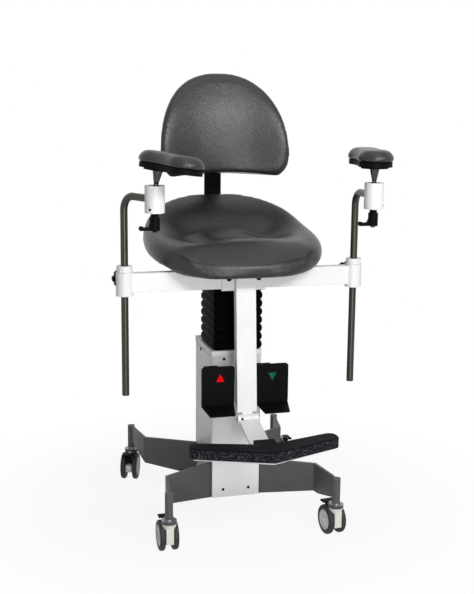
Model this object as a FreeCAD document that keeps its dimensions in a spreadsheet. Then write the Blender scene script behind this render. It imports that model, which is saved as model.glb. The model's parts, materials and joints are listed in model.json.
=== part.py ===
"""Surgeon chair on four braked casters, with a pedal-driven lift, folding footrest and ball-jointed arms.

Frame: +Z up, the floor is z = 0, the origin is at the middle of the base, and the sitter faces -Y.
"""

import FreeCAD
import Part

import math
import os

import Sketcher
from FreeCAD import Placement, Rotation, Vector

doc = FreeCAD.newDocument("SurgeonChair")
sheet = doc.addObject("Spreadsheet::Sheet", "Sizes")

# Driving dimensions in millimetres and degrees
SIZES = (
    ("running_clearance", 0.05, "radial clearance of a pin or shaft in its hole"),
    ("moving_gap", 0.3, "gap between faces that pass each other"),
    ("wheel_diameter", 75, "caster wheel over the tyre"),
    ("wheel_width", 13, "width of one caster wheel"),
    ("wheel_gap", 20, "space between the two wheels of a caster"),
    ("wheel_edge", 4.5, "rounding of the tyre's edges"),
    ("wheel_dish_diameter", 52, "hub disc seen on the wheel's outer face"),
    ("wheel_dish_depth", 1.5, "depth of the hub disc below the tyre"),
    ("axle_diameter", 8, "caster axle"),
    ("caster_trail", 20, "axle behind the swivel axis"),
    ("hood_side_gap", 0.75, "gap from the hood to each wheel"),
    ("hood_floor_gap", 25, "underside of the hood above the floor"),
    ("hood_front", 15, "hood in front of the swivel axis"),
    ("hood_rear", 44, "hood behind the swivel axis"),
    ("hood_wheel_gap", 1, "gap from the flared neck to the wheel tread"),
    ("neck_height", 30, "flared neck of the hood"),
    ("swivel_ring_diameter", 38, "dark ring on top of the hood"),
    ("swivel_ring_height", 8, "height of the dark ring"),
    ("stem_flange_diameter", 22, "zinc flange of the caster stem"),
    ("stem_flange_height", 4, "height of the zinc flange"),
    ("stem_pin_diameter", 11, "caster stem inside the leg tube"),
    ("stem_pin_reach", 48, "caster stem above its flange"),
    ("stem_pin_root", 30, "caster stem below its flange"),
    ("brake_pin_diameter", 4, "hinge pin of the brake pedal"),
    ("brake_pin_behind", 26, "brake pin behind the swivel axis"),
    ("brake_pin_above", 0, "brake pin above the wheels"),
    ("brake_ear_diameter", 9, "ear around the brake pin"),
    ("brake_plate_width", 36, "tread of the brake pedal"),
    ("brake_plate_length", 18, "tread of the brake pedal, fore and aft"),
    ("brake_plate_thickness", 4, "tread of the brake pedal"),
    ("brake_skirt_height", 24, "skirt of the brake pedal below its hinge"),
    ("brake_skirt_thickness", 5, "skirt of the brake pedal"),
    ("brake_skirt_gap", 6.5, "room for the skirt to swing"),
    ("brake_skirt_inset", 0.75, "skirt inside the hood's sides"),
    ("caster_turn_front_left", 0, "how far each caster is turned"),
    ("caster_turn_front_right", 7, "how far each caster is turned"),
    ("caster_turn_rear_left", 160, "how far each caster is turned"),
    ("caster_turn_rear_right", 275, "how far each caster is turned"),
    ("caster_track", 428, "between the swivel axes, across"),
    ("caster_base", 540, "between the swivel axes, fore and aft"),
    ("leg_tube_diameter", 20, "tube at the leg's end"),
    ("leg_tube_crown", 16, "closed top of the leg tube above the stem pin"),
    ("leg_thickness", 8, "leg plate"),
    ("leg_bend_x", 196, "bend of the leg from the middle, across"),
    ("leg_bend_y", 156, "bend of the leg from the middle, fore and aft"),
    ("leg_exit_y", 83, "where the leg leaves the column's side"),
    ("leg_root_depth", 10, "root of the leg inside the column's side"),
    ("leg_root_height", 95, "leg plate at the column"),
    ("leg_bend_low", 79, "lower edge of the leg at the bend"),
    ("leg_bend_high", 152, "upper edge of the leg at the bend"),
    ("leg_end_low", 106, "lower edge of the leg at its tube"),
    ("leg_end_high", 152, "upper edge of the leg at its tube"),
    ("column_width", 132, "column over the covers"),
    ("column_depth", 186, "column over the covers"),
    ("column_bottom", 57, "underside of the column above the floor"),
    ("column_top", 450, "top of the column's cap"),
    ("cover_thickness", 2.5, "sheet of the covers"),
    ("cover_gap", 0.2, "gap between the covers and what they hang on"),
    ("cover_corner", 8, "rounding of the covers' corners"),
    ("cover_seam_y", 35, "seam between the covers on the column's sides"),
    ("cover_slot_gap", 1.5, "gap around a leg in the cover's slot"),
    ("core_wall", 9, "wall of the base core"),
    ("core_floor", 12, "floor of the base core"),
    ("cap_height", 15, "cap on the column"),
    ("cap_gap", 1.2, "shadow gap between the covers and the cap"),
    ("cap_skirt", 15, "skirt of the cap inside the covers"),
    ("cap_skirt_wall", 4, "wall of the cap's skirt"),
    ("screw_head_diameter", 7, "cover screw"),
    ("screw_head_height", 2, "cover screw"),
    ("screw_shank_diameter", 4, "cover screw"),
    ("front_screw_x", 34, "front screws from the middle"),
    ("front_screw_low", 21, "low front screws above the column's underside"),
    ("top_screw_drop", 21, "top screws below the top of the column"),
    ("side_screw_y", 26, "side screws from the middle"),
    ("side_screw_low", 70, "low side screws above the column's underside"),
    ("guide_width", 80, "outer lift guide"),
    ("guide_depth", 100, "outer lift guide"),
    ("guide_wall", 5, "wall of the outer lift guide"),
    ("inner_guide_wall", 4, "wall of the inner lift guide"),
    ("guide_overlap", 115, "inner guide inside the outer one when raised"),
    ("cap_hole_gap", 1, "gap from the inner guide to the cap"),
    ("lift_travel", 120, "travel of the lift"),
    ("actuator_diameter", 44, "body of the lift actuator"),
    ("actuator_height", 232, "body of the lift actuator"),
    ("piston_diameter", 24, "piston of the lift actuator"),
    ("piston_overlap", 40, "piston inside the actuator when raised"),
    ("bellows_height", 172, "bellows when raised"),
    ("bellows_width", 130, "bellows over the folds"),
    ("bellows_ahead", 90, "bellows in front of the middle"),
    ("bellows_rear", 58, "bellows behind the middle"),
    ("bellows_side", 4, "bellows sits off the middle, towards the right"),
    ("bellows_fold", 5, "depth of a fold"),
    ("bellows_wall", 1.5, "wall of the bellows"),
    ("bellows_folds", 8, "number of folds"),
    ("pedal_inner_x", 28, "pedal from the middle"),
    ("pedal_width", 84, "pedal plate"),
    ("pedal_drop", 120, "lower edge of the pedal plate below the column's top"),
    ("pedal_height", 102, "pedal plate"),
    ("pedal_reach", 79, "pedal plate in front of the column"),
    ("pedal_thickness", 4, "pedal plate and lip"),
    ("pedal_corner", 8, "rounded corners of the pedal plate"),
    ("lip_length", 54, "pedal lip, forwards"),
    ("lip_drop", 12, "fall of the pedal lip"),
    ("lip_taper", 10, "narrowing of the lip on each side"),
    ("pedal_pivot_reach", 25, "pedal hinge in front of the column"),
    ("pedal_pivot_drop", 55, "pedal hinge below the column's top"),
    ("pedal_pin_diameter", 8, "pin of the pedal hinge"),
    ("pedal_barrel_diameter", 18, "barrel on the pedal's hinge pin"),
    ("pedal_barrel_width", 26, "barrel on the pedal's hinge pin"),
    ("pedal_ear_width", 5, "ears of the pedal hinge"),
    ("pedal_base_height", 36, "base plate of the pedal hinge"),
    ("pedal_base_thickness", 4, "base plate of the pedal hinge"),
    ("pedal_finger_drop", 47, "finger that works the switch, below the hinge"),
    ("pedal_finger_thickness", 5, "finger that works the switch"),
    ("switch_height", 24, "pedal switch"),
    ("switch_depth", 15, "pedal switch, forwards"),
    ("switch_width", 20, "pedal switch"),
    ("carrier_thickness", 12, "carrier plate on the lift"),
    ("carrier_width", 116, "carrier plate"),
    ("carrier_rear", 100, "carrier plate behind the middle"),
    ("carrier_flange_thickness", 8, "upright flange that holds the beam"),
    ("carrier_flange_height", 34, "upright flange above the plate"),
    ("beam_y", 134, "arm beam in front of the middle"),
    ("beam_depth", 24, "arm beam, fore and aft"),
    ("beam_height", 47, "arm beam"),
    ("beam_drop", 1, "underside of the beam below the carrier plate"),
    ("beam_wall", 3, "wall of the arm beam"),
    ("arm_spread", 588, "between the arm tubes"),
    ("collar_diameter", 42, "collar at the beam's end"),
    ("collar_height", 58, "collar at the beam's end"),
    ("collar_drop", 8, "collar below the beam"),
    ("bracket_width", 112, "plate that holds the footrest bar"),
    ("bracket_height", 50, "plate that holds the footrest bar"),
    ("bracket_drop", 4, "plate below the beam"),
    ("bracket_thickness", 5, "plate that holds the footrest bar"),
    ("bolt_diameter", 8, "bracket bolt"),
    ("bolt_head_diameter", 13, "head of a bracket bolt"),
    ("bolt_head_height", 4, "head of a bracket bolt"),
    ("bolt_nut_height", 6, "nut of a bracket bolt"),
    ("bolt_hole_gap", 0.2, "radial gap of a bolt in its hole"),
    ("bolt_x", 38, "bracket bolts from the middle"),
    ("bolt_rise", 27, "bracket bolts above the beam's underside"),
    ("bush_diameter", 30, "swivel bush in the collar"),
    ("bush_flange_diameter", 38, "top ring of the swivel bush"),
    ("bush_flange_height", 15, "top ring of the swivel bush"),
    ("tube_diameter", 18, "arm tube"),
    ("tube_wall", 2, "arm tube"),
    ("tube_below", 250, "arm tube below the collar"),
    ("tube_rise", 185, "top run of the arm tube above the collar"),
    ("tube_bend", 36, "bend radius of the arm tube's middle line"),
    ("arm_reach", 120, "from the swivel axis to the ball"),
    ("tube_seat", 15.5, "end of the tube from the socket's axis"),
    ("arm_turn_left", 27, "left arm turned inwards"),
    ("arm_turn_right", 0, "right arm turned inwards"),
    ("socket_diameter", 46.5, "ball socket"),
    ("socket_height", 63, "ball socket"),
    ("socket_above", 32, "top of the socket above the tube's run"),
    ("ball_diameter", 28, "ball in the socket"),
    ("ball_above", 12, "ball above the tube's run"),
    ("ball_gap", 0.3, "gap around the ball"),
    ("mouth_low_radius", 10.2, "mouth of the socket at the ball"),
    ("mouth_low", 9, "mouth of the socket starts above the ball's middle"),
    ("mouth_top_radius", 13.5, "mouth of the socket at the top"),
    ("neck_diameter", 11, "neck of the ball stem"),
    ("neck_reach", 24, "straight neck above the ball's middle"),
    ("stem_height", 54, "ball stem above the ball's middle"),
    ("stem_top_diameter", 24, "top of the ball stem"),
    ("spigot_diameter", 12, "spigot that the pad turns on"),
    ("spigot_height", 10, "spigot that the pad turns on"),
    ("pad_tilt_left", 3.5, "left pad tipped forwards"),
    ("pad_tilt_right", 0, "right pad tipped forwards"),
    ("pad_roll_left", 7, "left pad rolled inwards"),
    ("pad_roll_right", 0, "right pad rolled inwards"),
    ("pad_turn_left", 27, "left pad turned"),
    ("pad_turn_right", 172, "right pad turned"),
    ("pad_lobe_radius", 43.5, "round ends of an arm pad"),
    ("pad_lobe_offset", 51, "round ends from the pad's middle"),
    ("pad_waist", 74, "waist of an arm pad"),
    ("pad_stem_offset", 44.5, "stem from the pad's middle"),
    ("pad_boss_diameter", 66, "boss of the pad's plate on the stem"),
    ("pad_boss_height", 4, "boss of the pad's plate on the stem"),
    ("pad_plate_inset", 3, "plate inside the pad's outline"),
    ("pad_plate_height", 12, "plate under an arm pad"),
    ("pad_height", 27, "cushion of an arm pad"),
    ("pad_crown", 8, "rise of the pad's crown above its side"),
    ("pad_crown_inset", 20, "flat of the pad's crown inside its outline"),
    ("pad_tuck", 3, "pad's side drawn in at its foot"),
    ("lever_hub_diameter", 24, "hub of a clamp lever"),
    ("lever_hub_length", 41, "hub of a clamp lever"),
    ("lever_neck_diameter", 18, "neck of a clamp lever"),
    ("lever_neck_length", 10, "neck of a clamp lever"),
    ("lever_reach", 38, "handle of a clamp lever"),
    ("lever_handle_width", 9, "handle of a clamp lever"),
    ("lever_handle_height", 9, "handle of a clamp lever"),
    ("lever_screw_diameter", 11.9, "screw of the ball clamp lever"),
    ("lever_button_diameter", 11, "button in the hub"),
    ("lever_button_height", 4, "button in the hub"),
    ("lever_turn", 90, "ball clamp lever turned towards the side"),
    ("collar_screw_diameter", 8, "screw of the collar's clamp knob"),
    ("collar_knob_rise", 33, "collar's clamp knob above the collar's underside"),
    ("star_knob_diameter", 46, "collar's clamp knob"),
    ("star_knob_height", 18, "lobed grip of the clamp knob"),
    ("star_knob_hub_length", 18, "hub of the clamp knob"),
    ("star_knob_lobes", 7, "number of lobes"),
    ("seat_y", -33, "middle of the seat"),
    ("seat_rise", 89, "middle of the seat's rim above the carrier plate"),
    ("seat_tilt", 9, "seat falls to the front"),
    ("seat_half_width", 223, "seat cushion"),
    ("seat_half_depth", 213, "seat cushion"),
    ("seat_squareness", 2.46, "exponent of the seat's rounded outline"),
    ("seat_rim", 28, "half the thickness of the seat's rim"),
    ("seat_rear_rise", 49, "rear rim above the seat's plane"),
    ("seat_lip_drop", 10, "front lip below the seat's plane"),
    ("seat_dish", 34, "dish behind the middle, below the rim"),
    ("seat_ridge", 6, "front swell above the rim"),
    ("seat_foot", 25, "flat underside below the seat's plane"),
    ("seat_step", 126, "lip in front of the seat's middle"),
    ("pan_width", 300, "seat pan"),
    ("pan_front", 80, "seat pan in front of the seat's middle"),
    ("pan_rear", 100, "seat pan behind the seat's middle"),
    ("pan_thickness", 10, "seat pan"),
    ("pan_gap", 0.3, "gap between the cushion and its pan"),
    ("seat_bracket_width", 100, "bracket under the seat pan"),
    ("seat_bracket_wall", 8, "cheeks of the seat bracket"),
    ("seat_bracket_web", 6, "web of the seat bracket"),
    ("seat_bracket_front", 95, "bracket in front of the middle"),
    ("seat_bracket_rear", 64, "bracket behind the middle"),
    ("bar_width", 50, "footrest bar"),
    ("bar_depth", 23, "footrest bar"),
    ("bar_top_drop", 13, "top of the footrest bar below the beam's top"),
    ("bar_length", 338, "footrest bar"),
    ("bar_slant", 22, "how far the bar comes forward"),
    ("hinge_y", 200, "footrest hinge in front of the middle"),
    ("hinge_drop", 16, "footrest hinge below the bar's end"),
    ("hinge_diameter", 24, "barrel of the footrest hinge"),
    ("hinge_pin_diameter", 8, "pin of the footrest hinge"),
    ("hinge_knuckle", 26, "middle knuckle of the footrest hinge"),
    ("hinge_width", 55, "all knuckles of the footrest hinge"),
    ("foot_arm_thickness", 8, "arm of the footrest"),
    ("foot_arm_end_y", 340, "arm meets the footrest's plate"),
    ("foot_plate_thickness", 6, "plate under the footrest pad"),
    ("foot_plate_inset", 9, "plate inside the pad's outline"),
    ("foot_pad_drop", 33, "underside of the footrest pad below the hinge"),
    ("foot_pad_thickness", 25, "footrest pad"),
    ("foot_half_span", 183, "footrest pad from the middle to its end"),
    ("foot_apex_front", 440, "front corner of the footrest pad"),
    ("foot_end_front", 368, "front of the footrest pad at its ends"),
    ("foot_apex_rear", 374, "rear corner of the footrest pad"),
    ("foot_end_rear", 320, "rear of the footrest pad at its ends"),
    ("foot_end_round", 20, "rounded ends of the footrest pad"),
    ("foot_edge_round", 4, "rounded top edge of the footrest pad"),
    ("back_bar_width", 45, "flat bar that carries the back"),
    ("back_bar_thickness", 8, "flat bar that carries the back"),
    ("back_bar_y", 174, "front face of the bar behind the middle"),
    ("back_bar_height", 366, "bar above the carrier plate"),
    ("back_bar_bend", 14, "inner bend of the bar"),
    ("back_y", 72, "middle of the back cushion's lower edge"),
    ("back_rise", 145, "lower corners of the back cushion above the seat's rim"),
    ("back_lean", 11.5, "back leans rearwards"),
    ("back_radius", 263, "curve of the back around the sitter"),
    ("back_half_width", 170, "back cushion"),
    ("back_height", 281, "back cushion from its corners to its top"),
    ("back_wide_at", 55, "where the back is widest, above its corners"),
    ("back_corner_half", 151, "back cushion at its lower corners"),
    ("back_corner_round", 30, "rounded lower corners of the back cushion"),
    ("back_arch", 22, "lower edge rises in the middle"),
    ("back_thickness", 50, "back cushion"),
    ("back_end_round", 26, "height over which the back's ends round off"),
    ("back_plate_inset", 26, "plate inside the cushion's outline"),
    ("back_plate_thickness", 6, "plate behind the back cushion"),
    ("clamp_width", 66, "clamp on the back bar"),
    ("clamp_height", 60, "clamp on the back bar"),
    ("clamp_rise", 67, "clamp above the back's lower corners"),
    ("clamp_wall", 10, "clamp behind the back bar"),
    ("clamp_front", 9, "clamp in front of the back bar"),
    ("knob_diameter", 44, "knob on the back clamp"),
    ("knob_height", 22, "knob on the back clamp"),
    ("knob_screw_diameter", 8, "screw of the knob"),
    ("knob_edge", 4, "rounded edge of the knob"),
)

for row, (alias, number, meaning) in enumerate(SIZES, start=1):
    sheet.set(f"A{row}", meaning)
    sheet.set(f"B{row}", str(number))
    sheet.setAlias(f"B{row}", alias)
doc.recompute()


class Size:
    """A number together with the sheet expression that gives it."""

    def __init__(self, value, text):
        self.value = value
        self.text = text

    def __add__(self, other):
        other = as_size(other)
        return Size(self.value + other.value, f"({self.text} + {other.text})")

    def __sub__(self, other):
        other = as_size(other)
        return Size(self.value - other.value, f"({self.text} - {other.text})")

    def __rsub__(self, other):
        return as_size(other) - self

    def __mul__(self, other):
        other = as_size(other)
        return Size(self.value * other.value, f"({self.text} * {other.text})")

    def __truediv__(self, other):
        other = as_size(other)
        return Size(self.value / other.value, f"({self.text} / {other.text})")

    def __neg__(self):
        return Size(-self.value, f"(0 - {self.text})")


def as_size(number):
    if isinstance(number, Size):
        return number
    return Size(float(number), f"{float(number):.6f}")


def sine(angle):
    return Size(math.sin(math.radians(angle.value)), f"sin({angle.text} * 1deg)")


def cosine(angle):
    return Size(math.cos(math.radians(angle.value)), f"cos({angle.text} * 1deg)")


class Sheet:
    """Every driving dimension by its alias."""


S = Sheet()
for alias, number, meaning in SIZES:
    setattr(S, alias, Size(float(sheet.get(alias)), "Sizes." + alias))

X_AXIS = Vector(1, 0, 0)
Y_AXIS = Vector(0, 1, 0)
Z_AXIS = Vector(0, 0, 1)
ALONG = {"x": Rotation(Y_AXIS, 90), "y": Rotation(X_AXIS, -90), "z": Rotation()}
SIDES = (("left", -1), ("right", 1))
nodes = []


# Helpers that draw a piece and bind its sizes to the sheet

def bind(item, field, size):
    item.setExpression(field, as_size(size).text)


def put(item, x=0, y=0, z=0, turn=None):
    sizes = [as_size(v) for v in (x, y, z)]
    item.Placement = Placement(Vector(*[size.value for size in sizes]), turn or Rotation())
    for field, size in zip("xyz", sizes):
        bind(item, "Placement.Base." + field, size)
    return item


def node(label, item):
    item.Label = label
    nodes.append(item)
    return item


def box(name, x, y, z):
    item = doc.addObject("Part::Box", name)
    for field, (low, high) in zip(("Length", "Width", "Height"), (x, y, z)):
        bind(item, field, as_size(high) - low)
    return put(item, x[0], y[0], z[0])


def rod(name, axis, radius, low, high, first=0, second=0):
    """A cylinder along one axis; first and second are its other two coordinates, in X, Y, Z order."""
    item = doc.addObject("Part::Cylinder", name)
    bind(item, "Radius", radius)
    bind(item, "Height", as_size(high) - low)
    start = {"x": (low, first, second), "y": (first, low, second), "z": (first, second, low)}[axis]
    return put(item, *start, turn=ALONG[axis])


def cone(name, low_radius, high_radius, low, high, x=0, y=0):
    item = doc.addObject("Part::Cone", name)
    bind(item, "Radius1", low_radius)
    bind(item, "Radius2", high_radius)
    bind(item, "Height", as_size(high) - low)
    return put(item, x, y, low)


def ball(name, radius, x=0, y=0, z=0):
    item = doc.addObject("Part::Sphere", name)
    bind(item, "Radius", radius)
    return put(item, x, y, z)


def fuse(name, *parts):
    item = doc.addObject("Part::MultiFuse", name)
    item.Shapes = list(parts)
    item.Refine = True
    return item


def cut(name, base, *tools):
    item = doc.addObject("Part::Cut", name)
    item.Base = base
    item.Tool = tools[0] if len(tools) == 1 else fuse(name + "_cuts", *tools)
    return item


def group(name, *parts):
    item = doc.addObject("Part::Compound", name)
    item.Links = list(parts)
    return item


def formed(name, shape):
    """A piece whose form none of the plain features gives."""
    item = doc.addObject("Part::Feature", name)
    item.Shape = shape
    return item


def new_body(name):
    return doc.addObject("PartDesign::Body", name)


def new_sketch(body, name, role, offset=0):
    sketch = body.newObject("Sketcher::SketchObject", name)
    base = next(feature for feature in body.Origin.OriginFeatures if feature.Role == role)
    sketch.AttachmentSupport = [(base, "")]
    sketch.MapMode = "FlatFace"
    bind(sketch, "AttachmentOffset.Base.z", offset)
    return sketch


def pin_point(sketch, geometry, point, x, y=None):
    for kind, axis, place in (("DistanceX", -2, x), ("DistanceY", -1, y)):
        if place is None:
            continue
        size = as_size(place)
        if size.value == 0:
            sketch.addConstraint(Sketcher.Constraint("PointOnObject", geometry, point, axis))
            continue
        index = sketch.addConstraint(Sketcher.Constraint(kind, -1, 1, geometry, point, size.value))
        bind(sketch, f"Constraints[{index}]", size)


def flat_vector(x, y):
    return Vector(as_size(x).value, as_size(y).value, 0)


def polygon(sketch, points):
    edges = []
    for start, end in zip(points, points[1:] + points[:1]):
        edges.append(sketch.addGeometry(Part.LineSegment(flat_vector(*start), flat_vector(*end))))
    for edge, following in zip(edges, edges[1:] + edges[:1]):
        sketch.addConstraint(Sketcher.Constraint("Coincident", edge, 2, following, 1))
    for edge, (x, y) in zip(edges, points):
        pin_point(sketch, edge, 1, x, y)
    return sketch


def rectangle(sketch, x, y):
    return polygon(sketch, [(x[0], y[0]), (x[1], y[0]), (x[1], y[1]), (x[0], y[1])])


def circle(sketch, x, y, radius):
    centre = flat_vector(x, y)
    ring = sketch.addGeometry(Part.Circle(centre, Z_AXIS, as_size(radius).value))
    pin_point(sketch, ring, 3, x, y)
    index = sketch.addConstraint(Sketcher.Constraint("Radius", ring, as_size(radius).value))
    bind(sketch, f"Constraints[{index}]", radius)
    return sketch


def swept(body, kind, sketch, length, side="One side", reverse=False):
    """Pad or Pocket of a sketch."""
    item = body.newObject("PartDesign::" + kind, sketch.Name + "_" + kind.lower())
    item.Profile = sketch
    item.SideType = side
    item.Reversed = reverse
    bind(item, "Length", length)
    doc.recompute()
    return item


def pad(body, sketch, length, side="One side", reverse=False):
    return swept(body, "Pad", sketch, length, side, reverse)


def pocket(body, sketch, length, side="One side", reverse=False):
    before = body.Shape.Volume
    item = swept(body, "Pocket", sketch, length, side, reverse)
    if body.Shape.Volume >= before:
        raise ValueError(f"{item.Name} cuts nothing")
    return item


def round_edges(body, name, radius, wanted):
    doc.recompute()
    base = body.Tip
    edges = [f"Edge{i}" for i, edge in enumerate(base.Shape.Edges, start=1) if wanted(edge)]
    item = body.newObject("PartDesign::Fillet", name)
    item.Base = (base, edges)
    bind(item, "Radius", radius)
    doc.recompute()
    return item


def runs_along(edge, axis):
    if not isinstance(edge.Curve, Part.Line):
        return False
    direction = edge.Curve.Direction
    return abs(direction.dot(axis)) > 0.999


# Levels and places shared by several pieces

wheel_radius = S.wheel_diameter / 2
hood_half = S.wheel_gap / 2 - S.hood_side_gap
lug_half = hood_half / 2
ring_bottom = S.wheel_diameter + S.hood_wheel_gap
ring_top = ring_bottom + S.swivel_ring_height
flange_top = ring_top + S.stem_flange_height
pin_top = flange_top + S.stem_pin_reach
tube_bottom = flange_top + S.moving_gap
tube_top = pin_top + S.leg_tube_crown
half_column = S.column_width / 2
column_face = S.column_depth / 2
core_half_width = half_column - S.cover_thickness - S.cover_gap
core_half_depth = column_face - S.cover_thickness - S.cover_gap
cap_bottom = S.column_top - S.cap_height
cover_top = cap_bottom - S.cap_gap
inner_half_width = S.guide_width / 2 - S.guide_wall - S.moving_gap
inner_half_depth = S.guide_depth / 2 - S.guide_wall - S.moving_gap
core_floor_top = S.column_bottom + S.core_floor
carrier_bottom = S.column_top + S.bellows_height
carrier_top = carrier_bottom + S.carrier_thickness
beam_bottom = carrier_bottom - S.beam_drop
beam_top = beam_bottom + S.beam_height
beam_front = -S.beam_y - S.beam_depth / 2
beam_rear = beam_front + S.beam_depth
bracket_front = beam_front - S.bracket_thickness
collar_bottom = beam_bottom - S.collar_drop
collar_top = collar_bottom + S.collar_height
tube_run_z = collar_top + S.tube_rise
ball_z = tube_run_z + S.ball_above
collar_knob_z = collar_bottom + S.collar_knob_rise
pedal_pivot_z = S.column_top - S.pedal_pivot_drop
pedal_bottom = S.column_top - S.pedal_drop
seat_z = carrier_top + S.seat_rise
bar_top = beam_top - S.bar_top_drop
bar_end = bar_top - S.bar_length
hinge_z = bar_end - S.hinge_drop
foot_pad_z = hinge_z - S.foot_pad_drop
back_bar_top = carrier_top + S.back_bar_height
back_z = seat_z + S.back_rise
clamp_bottom = back_z + S.clamp_rise


# Casters: a flared hood between two wheels, its steel parts, and a hinged brake pedal

def caster_housing(name):
    wide = S.wheel_gap + S.wheel_width
    brake_z = S.wheel_diameter + S.brake_pin_above
    lug_end = S.brake_pin_behind + S.brake_ear_diameter / 2 + S.brake_plate_thickness / 2
    web = box(name + "_web", (-hood_half, hood_half), (-S.hood_front, lug_end),
              (S.hood_floor_gap, ring_bottom - S.neck_height / 4))
    tail = box(name + "_tail", (-hood_half, hood_half), (lug_end, S.hood_rear),
               (S.hood_floor_gap, brake_z - S.brake_skirt_height - S.brake_skirt_gap))
    neck = cone(name + "_neck", hood_half, S.swivel_ring_diameter / 2, ring_bottom - S.neck_height,
                ring_bottom)
    lug = box(name + "_lug", (-lug_half, lug_half),
              (S.swivel_ring_diameter / 2 + S.hood_wheel_gap, lug_end),
              (wheel_radius, S.wheel_diameter + S.brake_pin_above + S.brake_ear_diameter / 2))
    rooms = []
    for side, sign in SIDES:
        near = hood_half * sign
        far = (hood_half + wide) * sign
        low, high = (far, near) if sign < 0 else (near, far)
        rooms.append(rod(f"{name}_room_{side}", "x", wheel_radius + S.hood_wheel_gap, low, high,
                         S.caster_trail, wheel_radius))
    stem_bottom = ring_top - S.stem_pin_root
    holes = (
        rod(name + "_axle_hole", "x", S.axle_diameter / 2 + S.running_clearance, -wide, wide,
            S.caster_trail, wheel_radius),
        rod(name + "_brake_hole", "x", S.brake_pin_diameter / 2 + S.running_clearance, -wide, wide,
            S.brake_pin_behind, brake_z),
        rod(name + "_stem_hole", "z", S.stem_pin_diameter / 2 + S.running_clearance, stem_bottom, ring_top),
    )
    flare = cut(name + "_neck_cut", neck, *rooms)
    hood = cut(name + "_hood", fuse(name + "_hood_body", web, tail, flare, lug), *holes)
    ring = cut(name + "_ring",
               rod(name + "_ring_body", "z", S.swivel_ring_diameter / 2, ring_bottom, ring_top),
               rod(name + "_ring_hole", "z", S.stem_pin_diameter / 2 + S.running_clearance, ring_bottom,
                   ring_top))
    stem = fuse(name + "_stem",
                rod(name + "_pin", "z", S.stem_pin_diameter / 2, stem_bottom, pin_top),
                rod(name + "_flange", "z", S.stem_flange_diameter / 2, ring_top, flange_top))
    axle_half = S.wheel_gap / 2 + S.wheel_width - S.wheel_dish_depth * 2
    axle = rod(name + "_axle", "x", S.axle_diameter / 2, -axle_half, axle_half, S.caster_trail,
               wheel_radius)
    brake_pin = rod(name + "_brake_pin", "x", S.brake_pin_diameter / 2, -hood_half, hood_half,
                    S.brake_pin_behind, brake_z)
    return group(name, hood, ring, stem, axle, brake_pin)


def caster_wheels(name):
    wheels = []
    for side, sign in SIDES:
        inner = S.wheel_gap / 2 * sign
        outer = (S.wheel_gap / 2 + S.wheel_width) * sign
        dish = (S.wheel_gap / 2 + S.wheel_width - S.wheel_dish_depth) * sign
        low, high = (outer, inner) if sign < 0 else (inner, outer)
        tyre = rod(f"{name}_tyre_{side}", "x", wheel_radius, low, high, S.caster_trail, wheel_radius)
        doc.recompute()
        rounded = doc.addObject("Part::Fillet", f"{name}_rounded_{side}")
        rounded.Base = tyre
        round_by = S.wheel_edge.value
        rounded.Edges = [(i, round_by, round_by) for i, edge in enumerate(tyre.Shape.Edges, start=1)
                         if edge.Closed and isinstance(edge.Curve, Part.Circle)]
        low, high = (outer, dish) if sign < 0 else (dish, outer)
        disc = rod(f"{name}_dish_{side}", "x", S.wheel_dish_diameter / 2, low, high, S.caster_trail,
                   wheel_radius)
        low, high = (outer, inner) if sign < 0 else (inner, outer)
        bore = rod(f"{name}_bore_{side}", "x", S.axle_diameter / 2 + S.running_clearance, low, high,
                   S.caster_trail, wheel_radius)
        wheels.append(cut(f"{name}_wheel_{side}", rounded, disc, bore))
    return group(name, *wheels)


def caster_brake(name):
    brake_z = S.wheel_diameter + S.brake_pin_above
    ear_radius = S.brake_ear_diameter / 2
    plate_front = S.brake_pin_behind + ear_radius + S.brake_plate_thickness
    plate_top = brake_z + ear_radius
    plate_bottom = plate_top - S.brake_plate_thickness
    plate = box(name + "_tread", (-S.brake_plate_width / 2, S.brake_plate_width / 2),
                (plate_front, plate_front + S.brake_plate_length), (plate_bottom, plate_top))
    skirt_front = S.brake_pin_behind + ear_radius + S.brake_plate_thickness / 2 + S.brake_skirt_gap
    skirt_half = hood_half - S.brake_skirt_inset
    skirt = box(name + "_skirt", (-skirt_half, skirt_half),
                (skirt_front, skirt_front + S.brake_skirt_thickness),
                (brake_z - S.brake_skirt_height, plate_bottom))
    parts = [plate, skirt]
    for side, sign in SIDES:
        near = (lug_half + S.moving_gap) * sign
        far = hood_half * sign
        low, high = (far, near) if sign < 0 else (near, far)
        parts.append(rod(f"{name}_ear_{side}", "x", ear_radius, low, high, S.brake_pin_behind, brake_z))
        parts.append(box(f"{name}_arm_{side}", (low, high),
                         (S.brake_pin_behind, plate_front + S.brake_plate_thickness),
                         (plate_bottom, plate_top)))
    wide = S.brake_plate_width
    hole = rod(name + "_hole", "x", S.brake_pin_diameter / 2 + S.running_clearance, -wide, wide,
               S.brake_pin_behind, brake_z)
    return cut(name, fuse(name + "_body", *parts), hole)


caster_places = (
    ("front_left", -1, -1, S.caster_turn_front_left),
    ("front_right", 1, -1, S.caster_turn_front_right),
    ("rear_left", -1, 1, S.caster_turn_rear_left),
    ("rear_right", 1, 1, S.caster_turn_rear_right),
)
for place, across, along, yaw in caster_places:
    turn = Rotation(Z_AXIS, yaw.value)
    x = S.caster_track / 2 * across
    y = S.caster_base / 2 * along
    for piece, make in (("housing", caster_housing), ("wheels", caster_wheels), ("brake", caster_brake)):
        label = f"caster_{place}_{piece}"
        node(label, put(make("c_" + label), x, y, 0, turn))


# Legs: bent plates that rise from the core's corners to the leg tubes

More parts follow.
